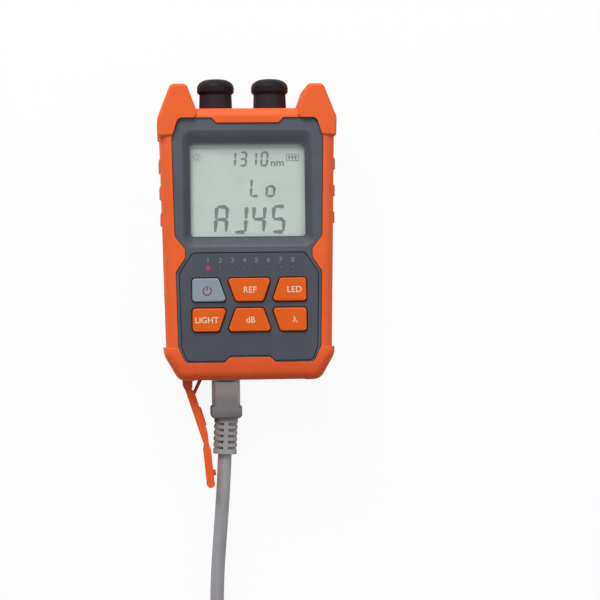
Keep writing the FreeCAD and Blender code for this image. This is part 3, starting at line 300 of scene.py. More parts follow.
@dataclass(frozen=True)
class Finish:
    """A finish that builds its own material."""

    name: str

    def shader(self, g: Graph) -> Node:
        """Return the shader."""
        raise NotImplementedError

    def build(self) -> Material:
        """Return the material."""
        g = Graph(self.name)
        return g.finish(self.shader(g))


@dataclass(frozen=True)
class PaintedShading:
    """Painted light and shade: colours that pass into one another along an axis; places are in
    millimetres.
    """

    axis: int
    stops: Tuple[Tuple[float, Colour], ...]

    def colour(self, g: Graph) -> Value:
        """Return the colour at the point on the surface."""
        low, high = self.stops[0][0], self.stops[-1][0]
        ramp = [((place - low) / (high - low), colour) for place, colour in self.stops]
        share = g.axes()[self.axis].spread(low * MM, high * MM)
        return g.read("ShaderNodeValToRGB", "Color", {"stops": ramp}, {"Fac": share})


@dataclass(frozen=True)
class Moulded(Finish):
    """Moulded plastic or rubber with grain, faint mottling, edges paler from wear and a painted
    highlight, and optional painted light and shade along one axis.
    """

    colour: Colour
    texture: Texture = SATIN
    roughness: float = 0.5
    mottling: float = 0.05
    # How far edges turn paler: partly wear, partly a painted highlight.
    edge_wear_and_highlight: float = 0.12
    edge: float = 0.25
    glow: float = 0.0
    specular: float = 0.4
    # Painted light and shade along one axis, where given.
    painted_shading: Optional[PaintedShading] = None

    def shader(self, g: Graph) -> Node:
        """Return the shader."""
        size, depth, uneven = GRAIN[self.texture]
        grain = g.noise(size, 3.0)
        cloud = g.noise(14, 2.0)
        normal, edges = g.soft_edges(self.edge)
        darker, lighter = (scaled(WHITE, 1 + sign * 2 * self.mottling) for sign in (-1, 1))
        # Paler edges: partly rubbed wear, partly a painted highlight.
        worn_and_highlit = paler(self.colour, self.edge_wear_and_highlight)
        # Painted light and shade along one axis replaces the plain colour where given.
        tint = self.painted_shading.colour(g) if self.painted_shading else self.colour
        shade = g.mix((cloud * 0.7 + grain * 0.3).spread(0.3, 0.7), darker, lighter)
        base = g.mix(1.0, tint, shade, "MULTIPLY")
        colour = g.mix(edges * cloud.spread(0.35, 0.65), base, worn_and_highlit)
        roughness = self.roughness + (grain - 0.5) * uneven - edges * 0.08
        return g.principled(colour, roughness, g.bump(grain, depth, normal),
                            specular=self.specular, glow=self.glow)


@dataclass(frozen=True)
class Metal(Finish):
    """Plated or turned metal with fine tool marks round one axis."""

    colour: Colour
    roughness: float
    marks: float
    axis: int

    def shader(self, g: Graph) -> Node:
        """Return the shader."""
        stretch = Vector((8, 8, 8))
        stretch[self.axis] = 0.5
        lines = g.noise(0.16, 2.0, stretch)
        smear = g.noise(2.5, 3.0)
        normal, edges = g.soft_edges(0.12)
        dull = scaled(self.colour, 0.78)
        colour = g.mix(smear.spread(0.35, 0.75), self.colour, dull)
        roughness = self.roughness + (lines - 0.5) * self.marks + smear * 0.06
        return g.principled(colour, roughness, g.bump(lines, 0.006, normal), metallic=1.0)


@dataclass(frozen=True)
class Print(Finish):
    """Printed legend: a thin, slightly uneven ink."""

    colour: Colour
    roughness: float = 0.5

    def shader(self, g: Graph) -> Node:
        """Return the shader."""
        speck = g.noise(0.25, 3.0)
        thin = scaled(self.colour, 0.86)
        return g.principled(g.mix(speck.spread(0.3, 0.8), self.colour, thin),
                            self.roughness + (speck - 0.5) * 0.15, specular=0.3)


@dataclass(frozen=True)
class Window(Finish):
    """Clear glued window: seen through, with a soft gloss."""

    gloss: float = 0.06

    def shader(self, g: Graph) -> Node:
        """Return the shader."""
        smear = g.noise(9, 3.0)
        clear = g.node("ShaderNodeBsdfTransparent", None, {"Color": (0.965, 0.975, 0.97, 1)})
        shine = g.node("ShaderNodeBsdfGlossy", None,
                       {"Color": WHITE, "Roughness": 0.06 + smear * 0.05})
        rim = g.read("ShaderNodeLayerWeight", "Fresnel", None, {"Blend": 0.25})
        amount = rim * 0.5 + self.gloss * smear.spread(0.2, 0.8)
        return g.blend(amount, clear, shine)


@dataclass(frozen=True)
class ClearPlastic(Finish):
    """Clear moulded plastic that lets what is behind it show a little, with its edges painted paler
    as a highlight.
    """

    colour: Colour
    clearness: float = 0.3
    roughness: float = 0.16

    def shader(self, g: Graph) -> Node:
        """Return the shader."""
        cloud = g.noise(3, 3.0)
        normal, edges = g.soft_edges(0.15)
        # Painted highlight: edges turn paler, with a random cloud on top.
        edge_highlight = paler(self.colour, 0.35)
        body = g.principled(g.mix((edges + cloud * 0.3).spread(0, 1), self.colour, edge_highlight),
                            self.roughness + cloud * 0.1, g.bump(cloud, 0.02, normal))
        clear = g.node("ShaderNodeBsdfTransparent", None, {"Color": (0.9, 0.91, 0.92, 1)})
        solid = (1 - self.clearness) + edges * self.clearness * 0.6
        return g.blend(solid.spread(0, 1), clear, body)


@dataclass(frozen=True)
class LiquidCrystal(Finish):
    """Pale reflective display glass with a fine polariser texture, painted shade towards its top
    and a painted shadow of the recess round its rim.
    """

    colour: Colour
    centre: Pair
    half: Pair

    def shader(self, g: Graph) -> Node:
        """Return the shader."""
        x, y, _ = g.axes()
        fine = g.noise(0.12, 2.0)
        cloud = g.noise(16, 2.0)
        side = g.math("ABSOLUTE", x - self.centre[0]) / self.half[0]
        end = g.math("ABSOLUTE", y - self.centre[1]) / self.half[1]
        # Painted shadow of the recess walls round the edge of the panel.
        rim = g.math("MAXIMUM", side, end).spread(0.93, 1.0) ** 1.6
        # Painted shade: the panel darkens towards its top.
        top_shade = (y - self.centre[1]).spread(-self.half[1], self.half[1])
        shade = scaled(self.colour, 0.86)
        recess_shadow_colour = scaled(self.colour, 0.6)
        base = g.mix((cloud * 0.4 + top_shade * 0.6).spread(0.15, 0.95), self.colour, shade)
        return g.principled(g.mix(rim * 0.75, base, recess_shadow_colour), 0.32 + (fine - 0.5) * 0.1,
                            g.bump(fine, 0.002), specular=0.35)


@dataclass(frozen=True)
class CircuitBoard(Finish):
    """Green solder mask over copper tracks."""

    def shader(self, g: Graph) -> Node:
        """Return the shader."""
        cells = g.read("ShaderNodeTexBrick", "Fac", {"offset": 0.35, "squash": 1.7},
                       {"Vector": g.place(), "Scale": 260.0, "Mortar Size": 0.05})
        pads = g.read("ShaderNodeTexVoronoi", "Distance", {"feature": "F1"},
                      {"Vector": g.place(), "Scale": 420.0})
        grain = g.noise(0.3)
        dots = pads < 0.16
        mask = g.mix(cells, srgb(24, 88, 54), srgb(38, 116, 72))
        return g.principled(g.mix(dots, mask, srgb(196, 168, 96)), 0.3 + grain * 0.15,
                            g.bump(cells, 0.02), metallic=dots * 0.8)


@dataclass(frozen=True)
class CellWrap(Finish):
    """Plain sleeve of a battery cell with a band at its plus end."""

    flip: bool
    half: float
    band_from: float = 0.52
    end_length: float = 0.9 * MM

    def shader(self, g: Graph) -> Node:
        """Return the shader."""
        x, _, _ = g.axes()
        along = x * (-1.0 if self.flip else 1.0)
        band = along > self.half * self.band_from
        end = g.math("ABSOLUTE", x) > self.half - self.end_length
        grain = g.noise(0.5, 3.0)
        sleeve = g.mix(band, srgb(58, 62, 70), srgb(176, 116, 58))
        return g.principled(g.mix(end, sleeve, srgb(186, 188, 192)), 0.3 + (grain - 0.5) * 0.12,
                            g.bump(grain, 0.004), metallic=end * 0.9 + (1 - end) * 0.25)


@dataclass(frozen=True)
class HookTape(Finish):
    """Woven hook-and-loop tape."""

    colour: Colour

    def shader(self, g: Graph) -> Node:
        """Return the shader."""
        fuzz = g.noise(0.22, 4.0)
        weave = g.read("ShaderNodeTexVoronoi", "Distance", None,
                       {"Vector": g.place(), "Scale": 1500.0})
        pale = tuple(min(1.0, c * 2.2 + 0.01) for c in self.colour[:3]) + (1.0,)
        return g.principled(g.mix(fuzz.spread(0.4, 0.8), self.colour, pale),
                            0.85 + (fuzz - 0.5) * 0.1, g.bump(weave * 0.6 + fuzz * 0.4, 0.15),
                            specular=0.2)


class Finishes:
    """Every finish of the meter, built when first asked for."""

    # Painted shade: the grips darken towards their bottom end, below y -44 mm and most below -51
    # mm.
    ORANGE = Moulded("grip_rubber", srgb(226, 92, 36), RUBBER, 0.55, 0.03, 0.08, 0.35,
                     specular=0.3,
                     painted_shading=PaintedShading(1, ((-51.0, srgb(211, 79, 31)), (-44.0, srgb(226, 92, 36)))))
    GREY = Moulded("case_plastic", srgb(80, 84, 93), SPARK, 0.58, 0.05, 0.08, 0.25,
                   specular=0.3)
    # Painted shade: the front case darkens down in the display recess, from z 31.1 mm to 30.2 mm
    # and below.
    FRONT_RECESS_SHADED = replace(GREY, name="case_front_recess_shaded",
                    painted_shading=PaintedShading(2, ((30.2, srgb(70, 74, 83)), (31.1, srgb(80, 84, 93)))))
    PLATE = Moulded("keypad_plate_plastic", srgb(71, 75, 84), SATIN, 0.55, 0.04, 0.06, 0.2,
                    specular=0.3)
    KEY = Moulded("key_orange_plastic", srgb(220, 90, 14), POLISHED, 0.4, 0.02, 0.10, 0.3,
                  specular=0.3)
    POWER = Moulded("key_grey_plastic", srgb(135, 145, 157), POLISHED, 0.4, 0.03, 0.12, 0.3)
    WHITE = Moulded("white_plastic", srgb(226, 226, 222), SATIN, 0.45, 0.03)
    GUIDE = Moulded("light_guide", srgb(238, 240, 240), POLISHED, 0.3, 0.02)
    CHIP = Moulded("chip_body", srgb(36, 36, 38), SATIN, 0.55, 0.06)
    LENS = Moulded("indicator_lens", srgb(73, 77, 86), SATIN, 0.5, 0.03, 0.05, 0.2)
    LIT = Moulded("indicator_lit", srgb(168, 56, 90), POLISHED, 0.3, 0.03, 0.1, 0.2, 0.12)
    # Painted light: each cap's neck, below y 61.5 mm, is painted lighter than its head, passing
    # over by 63.5 mm.
    CAP = Moulded("cap_rubber", srgb(32, 28, 32), RUBBER, 0.5, 0.05, 0.02, 0.3,
                  specular=0.1, painted_shading=PaintedShading(1, ((61.5, srgb(45, 40, 44)), (63.5, srgb(32, 28, 32)))))
    JACK = Moulded("socket_plastic", srgb(66, 66, 70), SATIN, 0.4, 0.04)
    LEAD = Moulded("lead_rubber", srgb(157, 155, 160), RUBBER, 0.5, 0.04, 0.08, 0.25)
    BOOT = Moulded("boot_rubber", srgb(150, 147, 148), RUBBER, 0.5, 0.05, 0.08, 0.25)
    # Painted light: a lit copy of the boot rubber for the near boot, paler towards the case end as
    # a painted sheen, with a darker band about y -72.4 mm.
    NEAR_BOOT_PAINTED_LIGHT = replace(BOOT, name="boot_near_painted_light", roughness=0.42,
                   painted_shading=PaintedShading(1, ((-74.5, srgb(160, 158, 159)), (-72.4, srgb(108, 104, 106)),
                                 (-68.5, srgb(146, 142, 144)), (-58.0, srgb(210, 208, 210)))))
    STRAP = Moulded("strap_rubber", srgb(233, 90, 28), RUBBER, 0.5, 0.05, 0.08, 0.3,
                    specular=0.3)
    CERAMIC = Moulded("sleeve_ceramic", srgb(240, 237, 228), POLISHED, 0.18, 0.02)
    TORCH = Moulded("torch_lens", srgb(226, 232, 236), POLISHED, 0.12, 0.03)
    STEEL = Metal("screw_steel", srgb(158, 160, 164), 0.3, 0.15, 2)
    NICKEL = Metal("port_nickel", srgb(196, 196, 198), 0.24, 0.15, 1)
    GOLD = Metal("contact_gold", srgb(214, 176, 96), 0.22, 0.1, 1)
    SPRING = Metal("contact_spring", srgb(186, 188, 190), 0.3, 0.12, 0)
    WINDOW = Window("window_clear")
    PLUG = ClearPlastic("plug_clear", srgb(182, 192, 194))
    BOARD = CircuitBoard("board_mask")
    TAPE = HookTape("tie_tape", srgb(38, 38, 40))
    LEGEND = Print("legend_cream", srgb(240, 208, 182))
    NUMERAL = Print("numeral_grey", srgb(136, 138, 148))
    SYMBOL = Print("symbol_plum", srgb(128, 58, 92))
    SEGMENT = Print("segment_dark", srgb(150, 159, 155), 0.4)

    def __init__(self) -> None:
        """Start with nothing built."""
        self._built: Dict[str, Material] = {}

    def get(self, finish: Finish) -> Material:
        """Return a finish's material, building it once."""
        if finish.name not in self._built:
            self._built[finish.name] = finish.build()
        return self._built[finish.name]


FINISHES = Finishes()


def dress(finish: Finish, *names: str) -> None:
    """Give frame nodes a finish.

    Args:
        finish: The finish.
        names: The nodes' names.
    """
    material = FINISHES.get(finish)
    for name in names:
        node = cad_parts[name]
        if not node.material_slots:
            node.data.materials.append(material)
        for slot in node.material_slots:
            slot.material = material
        LOG.info("dressed %s with %s", name, finish.name)


# ---- mesh helpers
MERGE = 1e-7
ROUND_STEPS = 72
SHARP = math.radians(35.0)


def put(name: str, data: Any) -> Object:
    """Put an object with that data in the scene and return it."""
    made = bpy.data.objects.new(name, data)
    bpy.context.scene.collection.objects.link(made)
    return made


class Shape:
    """A new mesh piece, shaped with bmesh operators."""

    def __init__(self, name: str) -> None:
        """Start an empty piece."""
        self.name = name
        self.bm = bmesh.new()

    def profile_spin(self, profile: Sequence[Pair]) -> "Shape":
        """Turn a closed profile about the Z axis.

        Args:
            profile: Radius and height of each point, in metres.

        Returns:
            This shape.
        """
        verts = [self.bm.verts.new((radius, 0, height)) for radius, height in profile]
        edges = [self.bm.edges.new(pair) for pair in zip(verts, verts[1:])]
        bmesh.ops.spin(self.bm, geom=verts + edges, cent=(0, 0, 0), axis=(0, 0, 1),
                       angle=math.tau, steps=ROUND_STEPS, use_merge=True, use_duplicate=False)
        bmesh.ops.remove_doubles(self.bm, verts=self.bm.verts, dist=MERGE)
        return self

    def move(self, matrix: Matrix) -> "Shape":
        """Move all of the shape."""
        bmesh.ops.transform(self.bm, matrix=matrix, verts=self.bm.verts)
        return self

    def bevel(self, edges: Iterable[bmesh.types.BMEdge], width: float, segments: int) -> "Shape":
        """Round some edges."""
        bmesh.ops.bevel(self.bm, geom=list(edges), offset=width, offset_type="OFFSET",
                        affect="EDGES", segments=segments, profile=0.5, material=-1)
        return self

    def clean(self) -> "Shape":
        """Merge doubles and turn the faces outwards."""
        bmesh.ops.remove_doubles(self.bm, verts=self.bm.verts, dist=MERGE)
        bmesh.ops.recalc_face_normals(self.bm, faces=self.bm.faces)
        return self

    def done(self, finish: Finish, body: str, smooth: bool = True) -> Object:
        """Turn the shape into a piece of the object.

        Args:
            finish: The finish it gets.
            body: The body it moves with.
            smooth: Whether it is shaded smooth, apart from its sharp edges.

        Returns:
            The new object.
        """
        for face in self.bm.faces:
            face.smooth = smooth
        for edge in self.bm.edges:
            if len(edge.link_faces) == 2 and edge.calc_face_angle(0.0) > SHARP:
                edge.smooth = False
        mesh = bpy.data.meshes.new(self.name)
        self.bm.to_mesh(mesh)
        self.bm.free()
        return piece(self.name, mesh, finish, body)


def piece(name: str, data: Any, finish: Finish, body: str) -> Object:
    """Put a mesh or curve in the scene as a piece of the object.

    Args:
        name: The piece's name.
        data: Its mesh or curve.
        finish: The finish it gets.
        body: The body it moves with.

    Returns:
        The new object.
    """
    made = put(name, data)
    data.materials.append(FINISHES.get(finish))
    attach(made, body)
    LOG.info("piece %s rides on %s", name, body)
    return made


@dataclass
class Lettering:
    """Flat characters printed on a face that looks along +Z."""

    finish: Finish
    body: str
    slot: str
    height: float = 0.04 * MM

    def write(self, name: str, text: str, size: float, place: Vector,
              weight: float = 0.0, width: float = 1.0) -> Object:
        """Write a word centred on a point.

        Args:
            name: The piece's name.
            text: The characters.
            size: Height of a capital letter, in metres.
            place: Centre of the word on its face.
            weight: How much each stroke is thickened, in metres.
            width: How much wider the letters are than usual.

        Returns:
            The new object.
        """
        curve = bpy.data.curves.new(name, "FONT")
        curve.body = text
        curve.size = 1.0
        curve.align_x = "CENTER"
        holder = put(name + "_text", curve)
        bpy.context.view_layer.update()
        heights = [corner[1] for corner in holder.bound_box]
        scale = size / (max(heights) - min(heights))
        curve.offset = weight / scale
        curve.extrude = self.height / 2 / scale
        curve.resolution_u = 6
        bpy.context.view_layer.update()
        mesh = bpy.data.meshes.new_from_object(holder.evaluated_get(
            bpy.context.evaluated_depsgraph_get()))
        bpy.data.objects.remove(holder)
        corners = [Vector(v.co) for v in mesh.vertices]
        middle = Vector([(min(c[i] for c in corners) + max(c[i] for c in corners)) / 2
                         for i in range(3)])
        mesh.transform(Matrix.Translation(place) @ Matrix.Diagonal((scale * width, scale, scale, 1))
                       @ Matrix.Translation(-middle))
        mesh.materials.clear()
        return piece(name, mesh, self.finish, self.body)


# ---- studio
# Name, place and size in metres, and power in watts
LAMPS = (
    ("key", (-0.3, 0.95, 0.75), 0.7, 16.0),
    ("fill", (0.75, 0.1, 0.95), 0.8, 3.0),
    ("low", (-0.7, -0.5, 0.8), 0.8, 0.8),
)


@dataclass
class Studio:
    """Camera, lamps and floor."""

    height: float = 900 * MM
    aim: Pair = (20.95 * MM, -23.5 * MM)
    over: Pair = (-46.0 * MM, -23.9 * MM)
    front: float = 31.2 * MM
    roll: float = 0.7
    tilt: float = 5.0
    view: float = 248.5 * MM
    ambient: float = 0.28
    floor_half: float = 3.0
    floor_drop: float = 0.05 * MM
    floor_glow: float = 0.92

    def build(self) -> None:
        """Make the camera, the lamps, the world and the floor."""
        bpy.context.scene.view_settings.view_transform = "Standard"
        self._camera()
        for lamp in LAMPS:
            self._lamp(*lamp)
        self._world()
        self._floor()

    def _camera(self) -> None:
        """Look down from a point beside the meter, with the lens shifted to it."""
        spot = Vector((*self.over, self.front + self.height))
        turn = (Matrix.Rotation(-math.radians(self.roll), 4, "Z")
                @ Matrix.Rotation(-math.radians(self.tilt), 4, "Y"))
        ahead = turn.inverted() @ (Vector((*self.aim, self.front)) - spot)
        data = bpy.data.cameras.new("camera")
        data.sensor_width = 36.0
        data.lens = data.sensor_width * -ahead.z / self.view
        data.clip_end = 10.0
        data.shift_x = ahead.x / self.view
        data.shift_y = ahead.y / self.view
        camera = put("camera", data)
        camera.matrix_world = Matrix.Translation(spot) @ turn
        bpy.context.scene.camera = camera

    @staticmethod
    def _lamp(name: str, place: Triple, size: float, power: float) -> None:
        """Add one soft lamp that looks at the meter."""
        data = bpy.data.lights.new(name, "AREA")
        data.size = size
        data.energy = power
        lamp = put(name, data)
        lamp.location = place
        lamp.rotation_euler = (-Vector(place)).to_track_quat("-Z", "Y").to_euler()

    def _world(self) -> None:
        """Give soft light from everywhere, with white behind."""
        g = Graph("world", True)
        light = g.node("ShaderNodeBackground", None, {"Color": WHITE, "Strength": self.ambient})
        seen = g.node("ShaderNodeBackground", None, {"Color": WHITE, "Strength": 1.0})
        path = g.node("ShaderNodeLightPath").outputs
        either = g.math("MAXIMUM", path["Is Camera Ray"], path["Is Transmission Ray"])
        bpy.context.scene.world = g.finish(g.blend(either, light, seen))

    def _floor(self) -> None:
        """Lay a pale floor that keeps the shadow and is open from below."""
        shape = bmesh.new()
        bmesh.ops.create_grid(shape, x_segments=1, y_segments=1, size=self.floor_half)
        bmesh.ops.translate(shape, vec=(0, 0, -self.floor_drop), verts=shape.verts)
        mesh = bpy.data.meshes.new("floor")
        shape.to_mesh(mesh)
        shape.free()
        floor = put("floor", mesh)
        g = Graph("floor_paper")
        tooth = g.noise(1.2, 2.0)
        paper = g.node("ShaderNodeBsdfDiffuse", None,
                       {"Color": g.mix(tooth, (0.86, 0.86, 0.86, 1), (0.9, 0.9, 0.9, 1))})
        glow = g.node("ShaderNodeEmission", None, {"Color": WHITE, "Strength": 1.0})
        seen = g.read("ShaderNodeLightPath", "Is Camera Ray")
        white = g.blend(seen * self.floor_glow, paper, glow)
        clear = g.node("ShaderNodeBsdfTransparent")
        below = g.read("ShaderNodeNewGeometry", "Backfacing")
        mesh.materials.append(g.finish(g.blend(below, white, clear)))


# ---- lead
@dataclass
class Lead:
    """Network lead: cable with its coil, boots, plugs and tie; millimetres and degrees."""

    radius: float = 2.9
    start: Triple = (-10.164, -87.881, 11.2)
    lean: float = 2.9
    straight: float = 15.0
    sag: Tuple[Triple, ...] = ((-2.2, -33.0, 5.9), (-3.7, -53.0, 2.7))
    landing: Triple = (-0.5, -73.0, 0.5)
    landing_gap: float = 0.15
    run_in: float = 15.5
    entry_inset: float = 1.0
    coil_radius: float = 29.0
    coil_centre: Pair = (17.3, -193.0)
    coil_low: float = 0.6
    turns: int = 5
    points_per_turn: int = 16
    first_move: float = 330.0
    move_step: float = 315.0
    move_half: float = 20.0
    tail_places: Triple = (12.0, 28.0, 40.0)
    tail_height: float = 4.7
    tie_width: float = 6.0
    tie_gap: float = 0.05
    tie_thickness: float = 0.6
    tie_round: float = 0.15
    tie_steps: int = 8
    body: str = "lead"

    @property
    def entry(self) -> float:
        """Return the x at which the cable comes to the coil and leaves it."""
        return self.coil_centre[0] - self.coil_radius - self.radius + self.entry_inset

    def build(self) -> None:
        """Make the cord and dress the pieces on it."""
        self._cord()
        dress(Finishes.NEAR_BOOT_PAINTED_LIGHT, "lead_boot")
        dress(Finishes.BOOT, "far_boot")
        dress(Finishes.PLUG, "lead_plug", "far_plug")
        dress(Finishes.GOLD, "lead_contacts", "far_contacts")

    def _free_points(self) -> List[Vector]:
        """Return the route from the boot to the coil, in millimetres."""
        rest = self.coil_low + self.radius + self.landing_gap
        x, y, z = self.start
        lean = math.radians(self.lean)
        aside, along, up = self.landing
        return [
            Vector((x, y, z)),
            Vector((x - self.straight * math.sin(lean), y - self.straight * math.cos(lean), z)),
            *(Vector((x + dx, y + dy, rest + dz)) for dx, dy, dz in self.sag),
            Vector((self.entry + aside, y + along, rest + up)),
            Vector((self.entry, self.coil_centre[1] + self.run_in, rest)),
        ]

    def _coil_points(self) -> List[Vector]:
        """Return the turns, each moving to the next place once that place is free."""
        near, far = self.coil_radius - self.radius, self.coil_radius + self.radius
        low = self.coil_low + self.radius
        step = 2 * self.radius
        places = [(far, low), (near, low), (near, low + step), (near, low + 2 * step),
                  (far, low + 2 * step), (far, low + step)]
        moves = [self.first_move + self.move_step * k for k in range(len(places) - 1)]
        points = []
        count = self.turns * self.points_per_turn
        for i in range(count + 1):
            angle = 360 * self.turns * i / count
            ring, height = places[0]
            for k, move in enumerate(moves):
                share = (angle - move + self.move_half) / (2 * self.move_half)
                share = min(max(share, 0.0), 1.0)
                share = share * share * (3 - 2 * share)
                ring += (places[k + 1][0] - places[k][0]) * share
                height += (places[k + 1][1] - places[k][1]) * share
            turned = math.radians(180 + angle)
            points.append(Vector((self.coil_centre[0] + ring * math.cos(turned),
                                  self.coil_centre[1] + ring * math.sin(turned), height)))
        return points

    def _tail_points(self) -> List[Vector]:
        """Return the route from the coil to the far boot, in millimetres."""
        heights = (self.coil_low + 3 * self.radius, self.tail_height, self.tail_height)
        return [Vector((self.entry, self.coil_centre[1] - place, height))
                for place, height in zip(self.tail_places, heights)]

    def _tie_loop(self, reach: float) -> List[Pair]:
        """Return a tight loop round the turns, as seen along the cable.

        Args:
            reach: Distance from the middle of a turn to the loop, in millimetres.

        Returns:
            Distance from the coil's middle and height of each point, in millimetres.
        """
        near, far = self.coil_radius - self.radius, self.coil_radius + self.radius
        low, step = self.coil_low + self.radius, 2 * self.radius
        turns = [Vector(c) for c in ((near, low), (far, low), (far, low + step),
                                     (near, low + 2 * step))]
        points = []
        for i, centre in enumerate(turns):
            before = centre - turns[i - 1]
            after = turns[(i + 1) % len(turns)] - centre
            start = math.atan2(-before.x, before.y)
            sweep = (math.atan2(-after.x, after.y) - start) % math.tau
            for j in range(self.tie_steps + 1):
                angle = start + sweep * j / self.tie_steps
                points.append((centre.x + reach * math.cos(angle),
                               centre.y + reach * math.sin(angle)))
        return points

    def _tie(self) -> Object:
        """Wrap the tape round the turns."""
        shape = Shape("lead_tie")
        x, y = self.coil_centre
        half = self.tie_width / 2
        rings = []
        for reach, side in ((self.tie_gap, -half), (self.tie_thickness, -half),
                            (self.tie_thickness, half), (self.tie_gap, half)):
            rings.append([shape.bm.verts.new(((x + out) * MM, (y + side) * MM, up * MM))
                          for out, up in self._tie_loop(self.radius + reach)])
        for ring, other in zip(rings, rings[1:] + rings[:1]):
            for i in range(len(ring)):
                shape.bm.faces.new((ring[i - 1], ring[i], other[i], other[i - 1]))
        shape.clean()
        rims = [edge for edge in shape.bm.edges
                if edge.calc_face_angle(0.0) > math.radians(80)]
        shape.bevel(rims, self.tie_round * MM, 2)
        tie = shape.done(Finishes.TAPE, self.body)
        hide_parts("coil_tie")
        return tie

    def _cord(self) -> None:
        points = self._free_points() + self._coil_points() + self._tail_points()
        curve = bpy.data.curves.new("lead_cord", "CURVE")
        curve.dimensions = "3D"
        spline = curve.splines.new("NURBS")
        spline.points.add(len(points) - 1)
        for control, point in zip(spline.points, points):
            control.co = (*(point * MM), 1.0)
        spline.order_u = 3
        spline.use_endpoint_u = True
        spline.resolution_u = 5
        curve.bevel_depth = self.radius * MM
        curve.bevel_resolution = 6
        curve.use_fill_caps = True
        cable = piece("lead_cord", curve, Finishes.LEAD, self.body)
        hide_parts("lead_cable", "lead_coil", "lead_tail")
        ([self._tie()] + [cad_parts[name] for name in
                                             ("far_plug", "far_contacts", "far_boot")])


# ---- ports
@dataclass
class Ports:
    """Threaded barrels of the two optical ports, with their sleeves and caps; millimetres."""

    radius: float = 4.0
    flange: float = 5.4
    flange_height: float = 1.4
    bore: float = 1.65
    lip: float = 1.25
    lip_height: float = 0.8
    lip_break: float = 0.15
    thread_start: float = 5.6
    thread_pitch: float = 0.75
    thread_depth: float = 0.38
    thread_shares: Tuple[float, ...] = (0.0, 0.3, 0.5, 0.8)
    relief: float = 0.2
    plain_end: float = 0.9
    plain_drop: float = 0.1
    end_chamfer: float = 0.4

    def build(self) -> None:
        """Make the barrels and dress the rest."""
        for name in ("power", "laser"):
            self._barrel(name + "_port")
        dress(Finishes.CERAMIC, "power_port_sleeve", "laser_port_sleeve")
        dress(Finishes.CAP, "power_port_cap", "laser_port_cap")

    def _thread(self, length: float) -> List[Pair]:
        """Return the outer profile of the threaded stretch."""
        root = self.radius - self.thread_depth
        count = int((length - self.plain_end - self.thread_start) / self.thread_pitch)
        radii = (root, self.radius, self.radius, root)
        return [(radius, self.thread_start + i * self.thread_pitch + share * self.thread_pitch)
                for i in range(count) for radius, share in zip(radii, self.thread_shares)]

    def _barrel(self, name: str) -> None:
        """Turn one barrel from its profile."""
        low, high = node_box(name + "_barrel")
        length = (high.y - low.y) / MM
        profile = [(self.bore, 0.0), (self.flange, 0.0), (self.flange, self.flange_height),
                   (self.radius, self.flange_height),
                   (self.radius, self.thread_start - self.relief)]
        profile += self._thread(length)
        plain = self.radius - self.plain_drop
        profile += [(plain, length - self.plain_end), (plain, length - self.end_chamfer),
                    (self.radius - self.end_chamfer, length), (self.lip + self.lip_break, length),
                    (self.lip, length - self.lip_break), (self.lip, length - self.lip_height),
                    (self.bore, length - self.lip_height), (self.bore, 0.0)]
        shape = Shape(name + "_thread")
        shape.profile_spin([(radius * MM, height * MM) for radius, height in profile])
        foot = Vector(((low.x + high.x) / 2, low.y, (low.z + high.z) / 2))
        shape.move(Matrix.Translation(foot) @ Matrix.Rotation(-math.pi / 2, 4, "X")).clean()
        barrel = shape.done(Finishes.NICKEL, "case")
        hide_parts(name + "_barrel")


# ---- case
@dataclass
class Case:
    """Hard case halves, soft grips, screws and the battery bay."""

    def build(self) -> None:
        """Dress the case."""
        dress(Finishes.FRONT_RECESS_SHADED, "front_housing")
        dress(Finishes.GREY, "rear_housing", "battery_door")
        dress(Finishes.ORANGE, "front_grip", "rear_grip")
        dress(Finishes.STEEL, "case_screws", "board_screws")
        dress(Finishes.SPRING, "cell_contacts")
        for number in (1, 2, 3):
            low, high = node_box("battery_cell_%d" % number)
            wrap = CellWrap("cell_wrap_%d" % number, number == 2, (high.x - low.x) / 2)
            dress(wrap, "battery_cell_%d" % number)
        dress(Finishes.STRAP, "port_cover", "port_cover_pin")


@dataclass
class Inside:
    """Board, display stack, switches and the parts behind the ports."""

    def build(self) -> None:
        """Dress what is inside."""
        dress(Finishes.BOARD, "main_board")
        dress(Finishes.CHIP, "board_chips", "key_switches")
        dress(Finishes.WHITE, "lcd_holder", "indicator_chips")
        dress(Finishes.GUIDE, "lcd_backlight")
        dress(Finishes.NICKEL, "photodiode", "fault_laser", "socket_pin")
        dress(Finishes.TORCH, "torch_led")
        dress(Finishes.JACK, "network_jack", "charging_socket")
        dress(Finishes.GOLD, "jack_contacts")


# ---- keypad
# Word on each key, and how far right of the key's middle it stands, in millimetres
LEGENDS = {
    "ref_key": ("REF", 0.3), "led_key": ("LED", 1.9), "light_key": ("LIGHT", -0.9),
    "db_key": ("dB", 0.4), "wavelength_key": ("λ", 2.0),
}


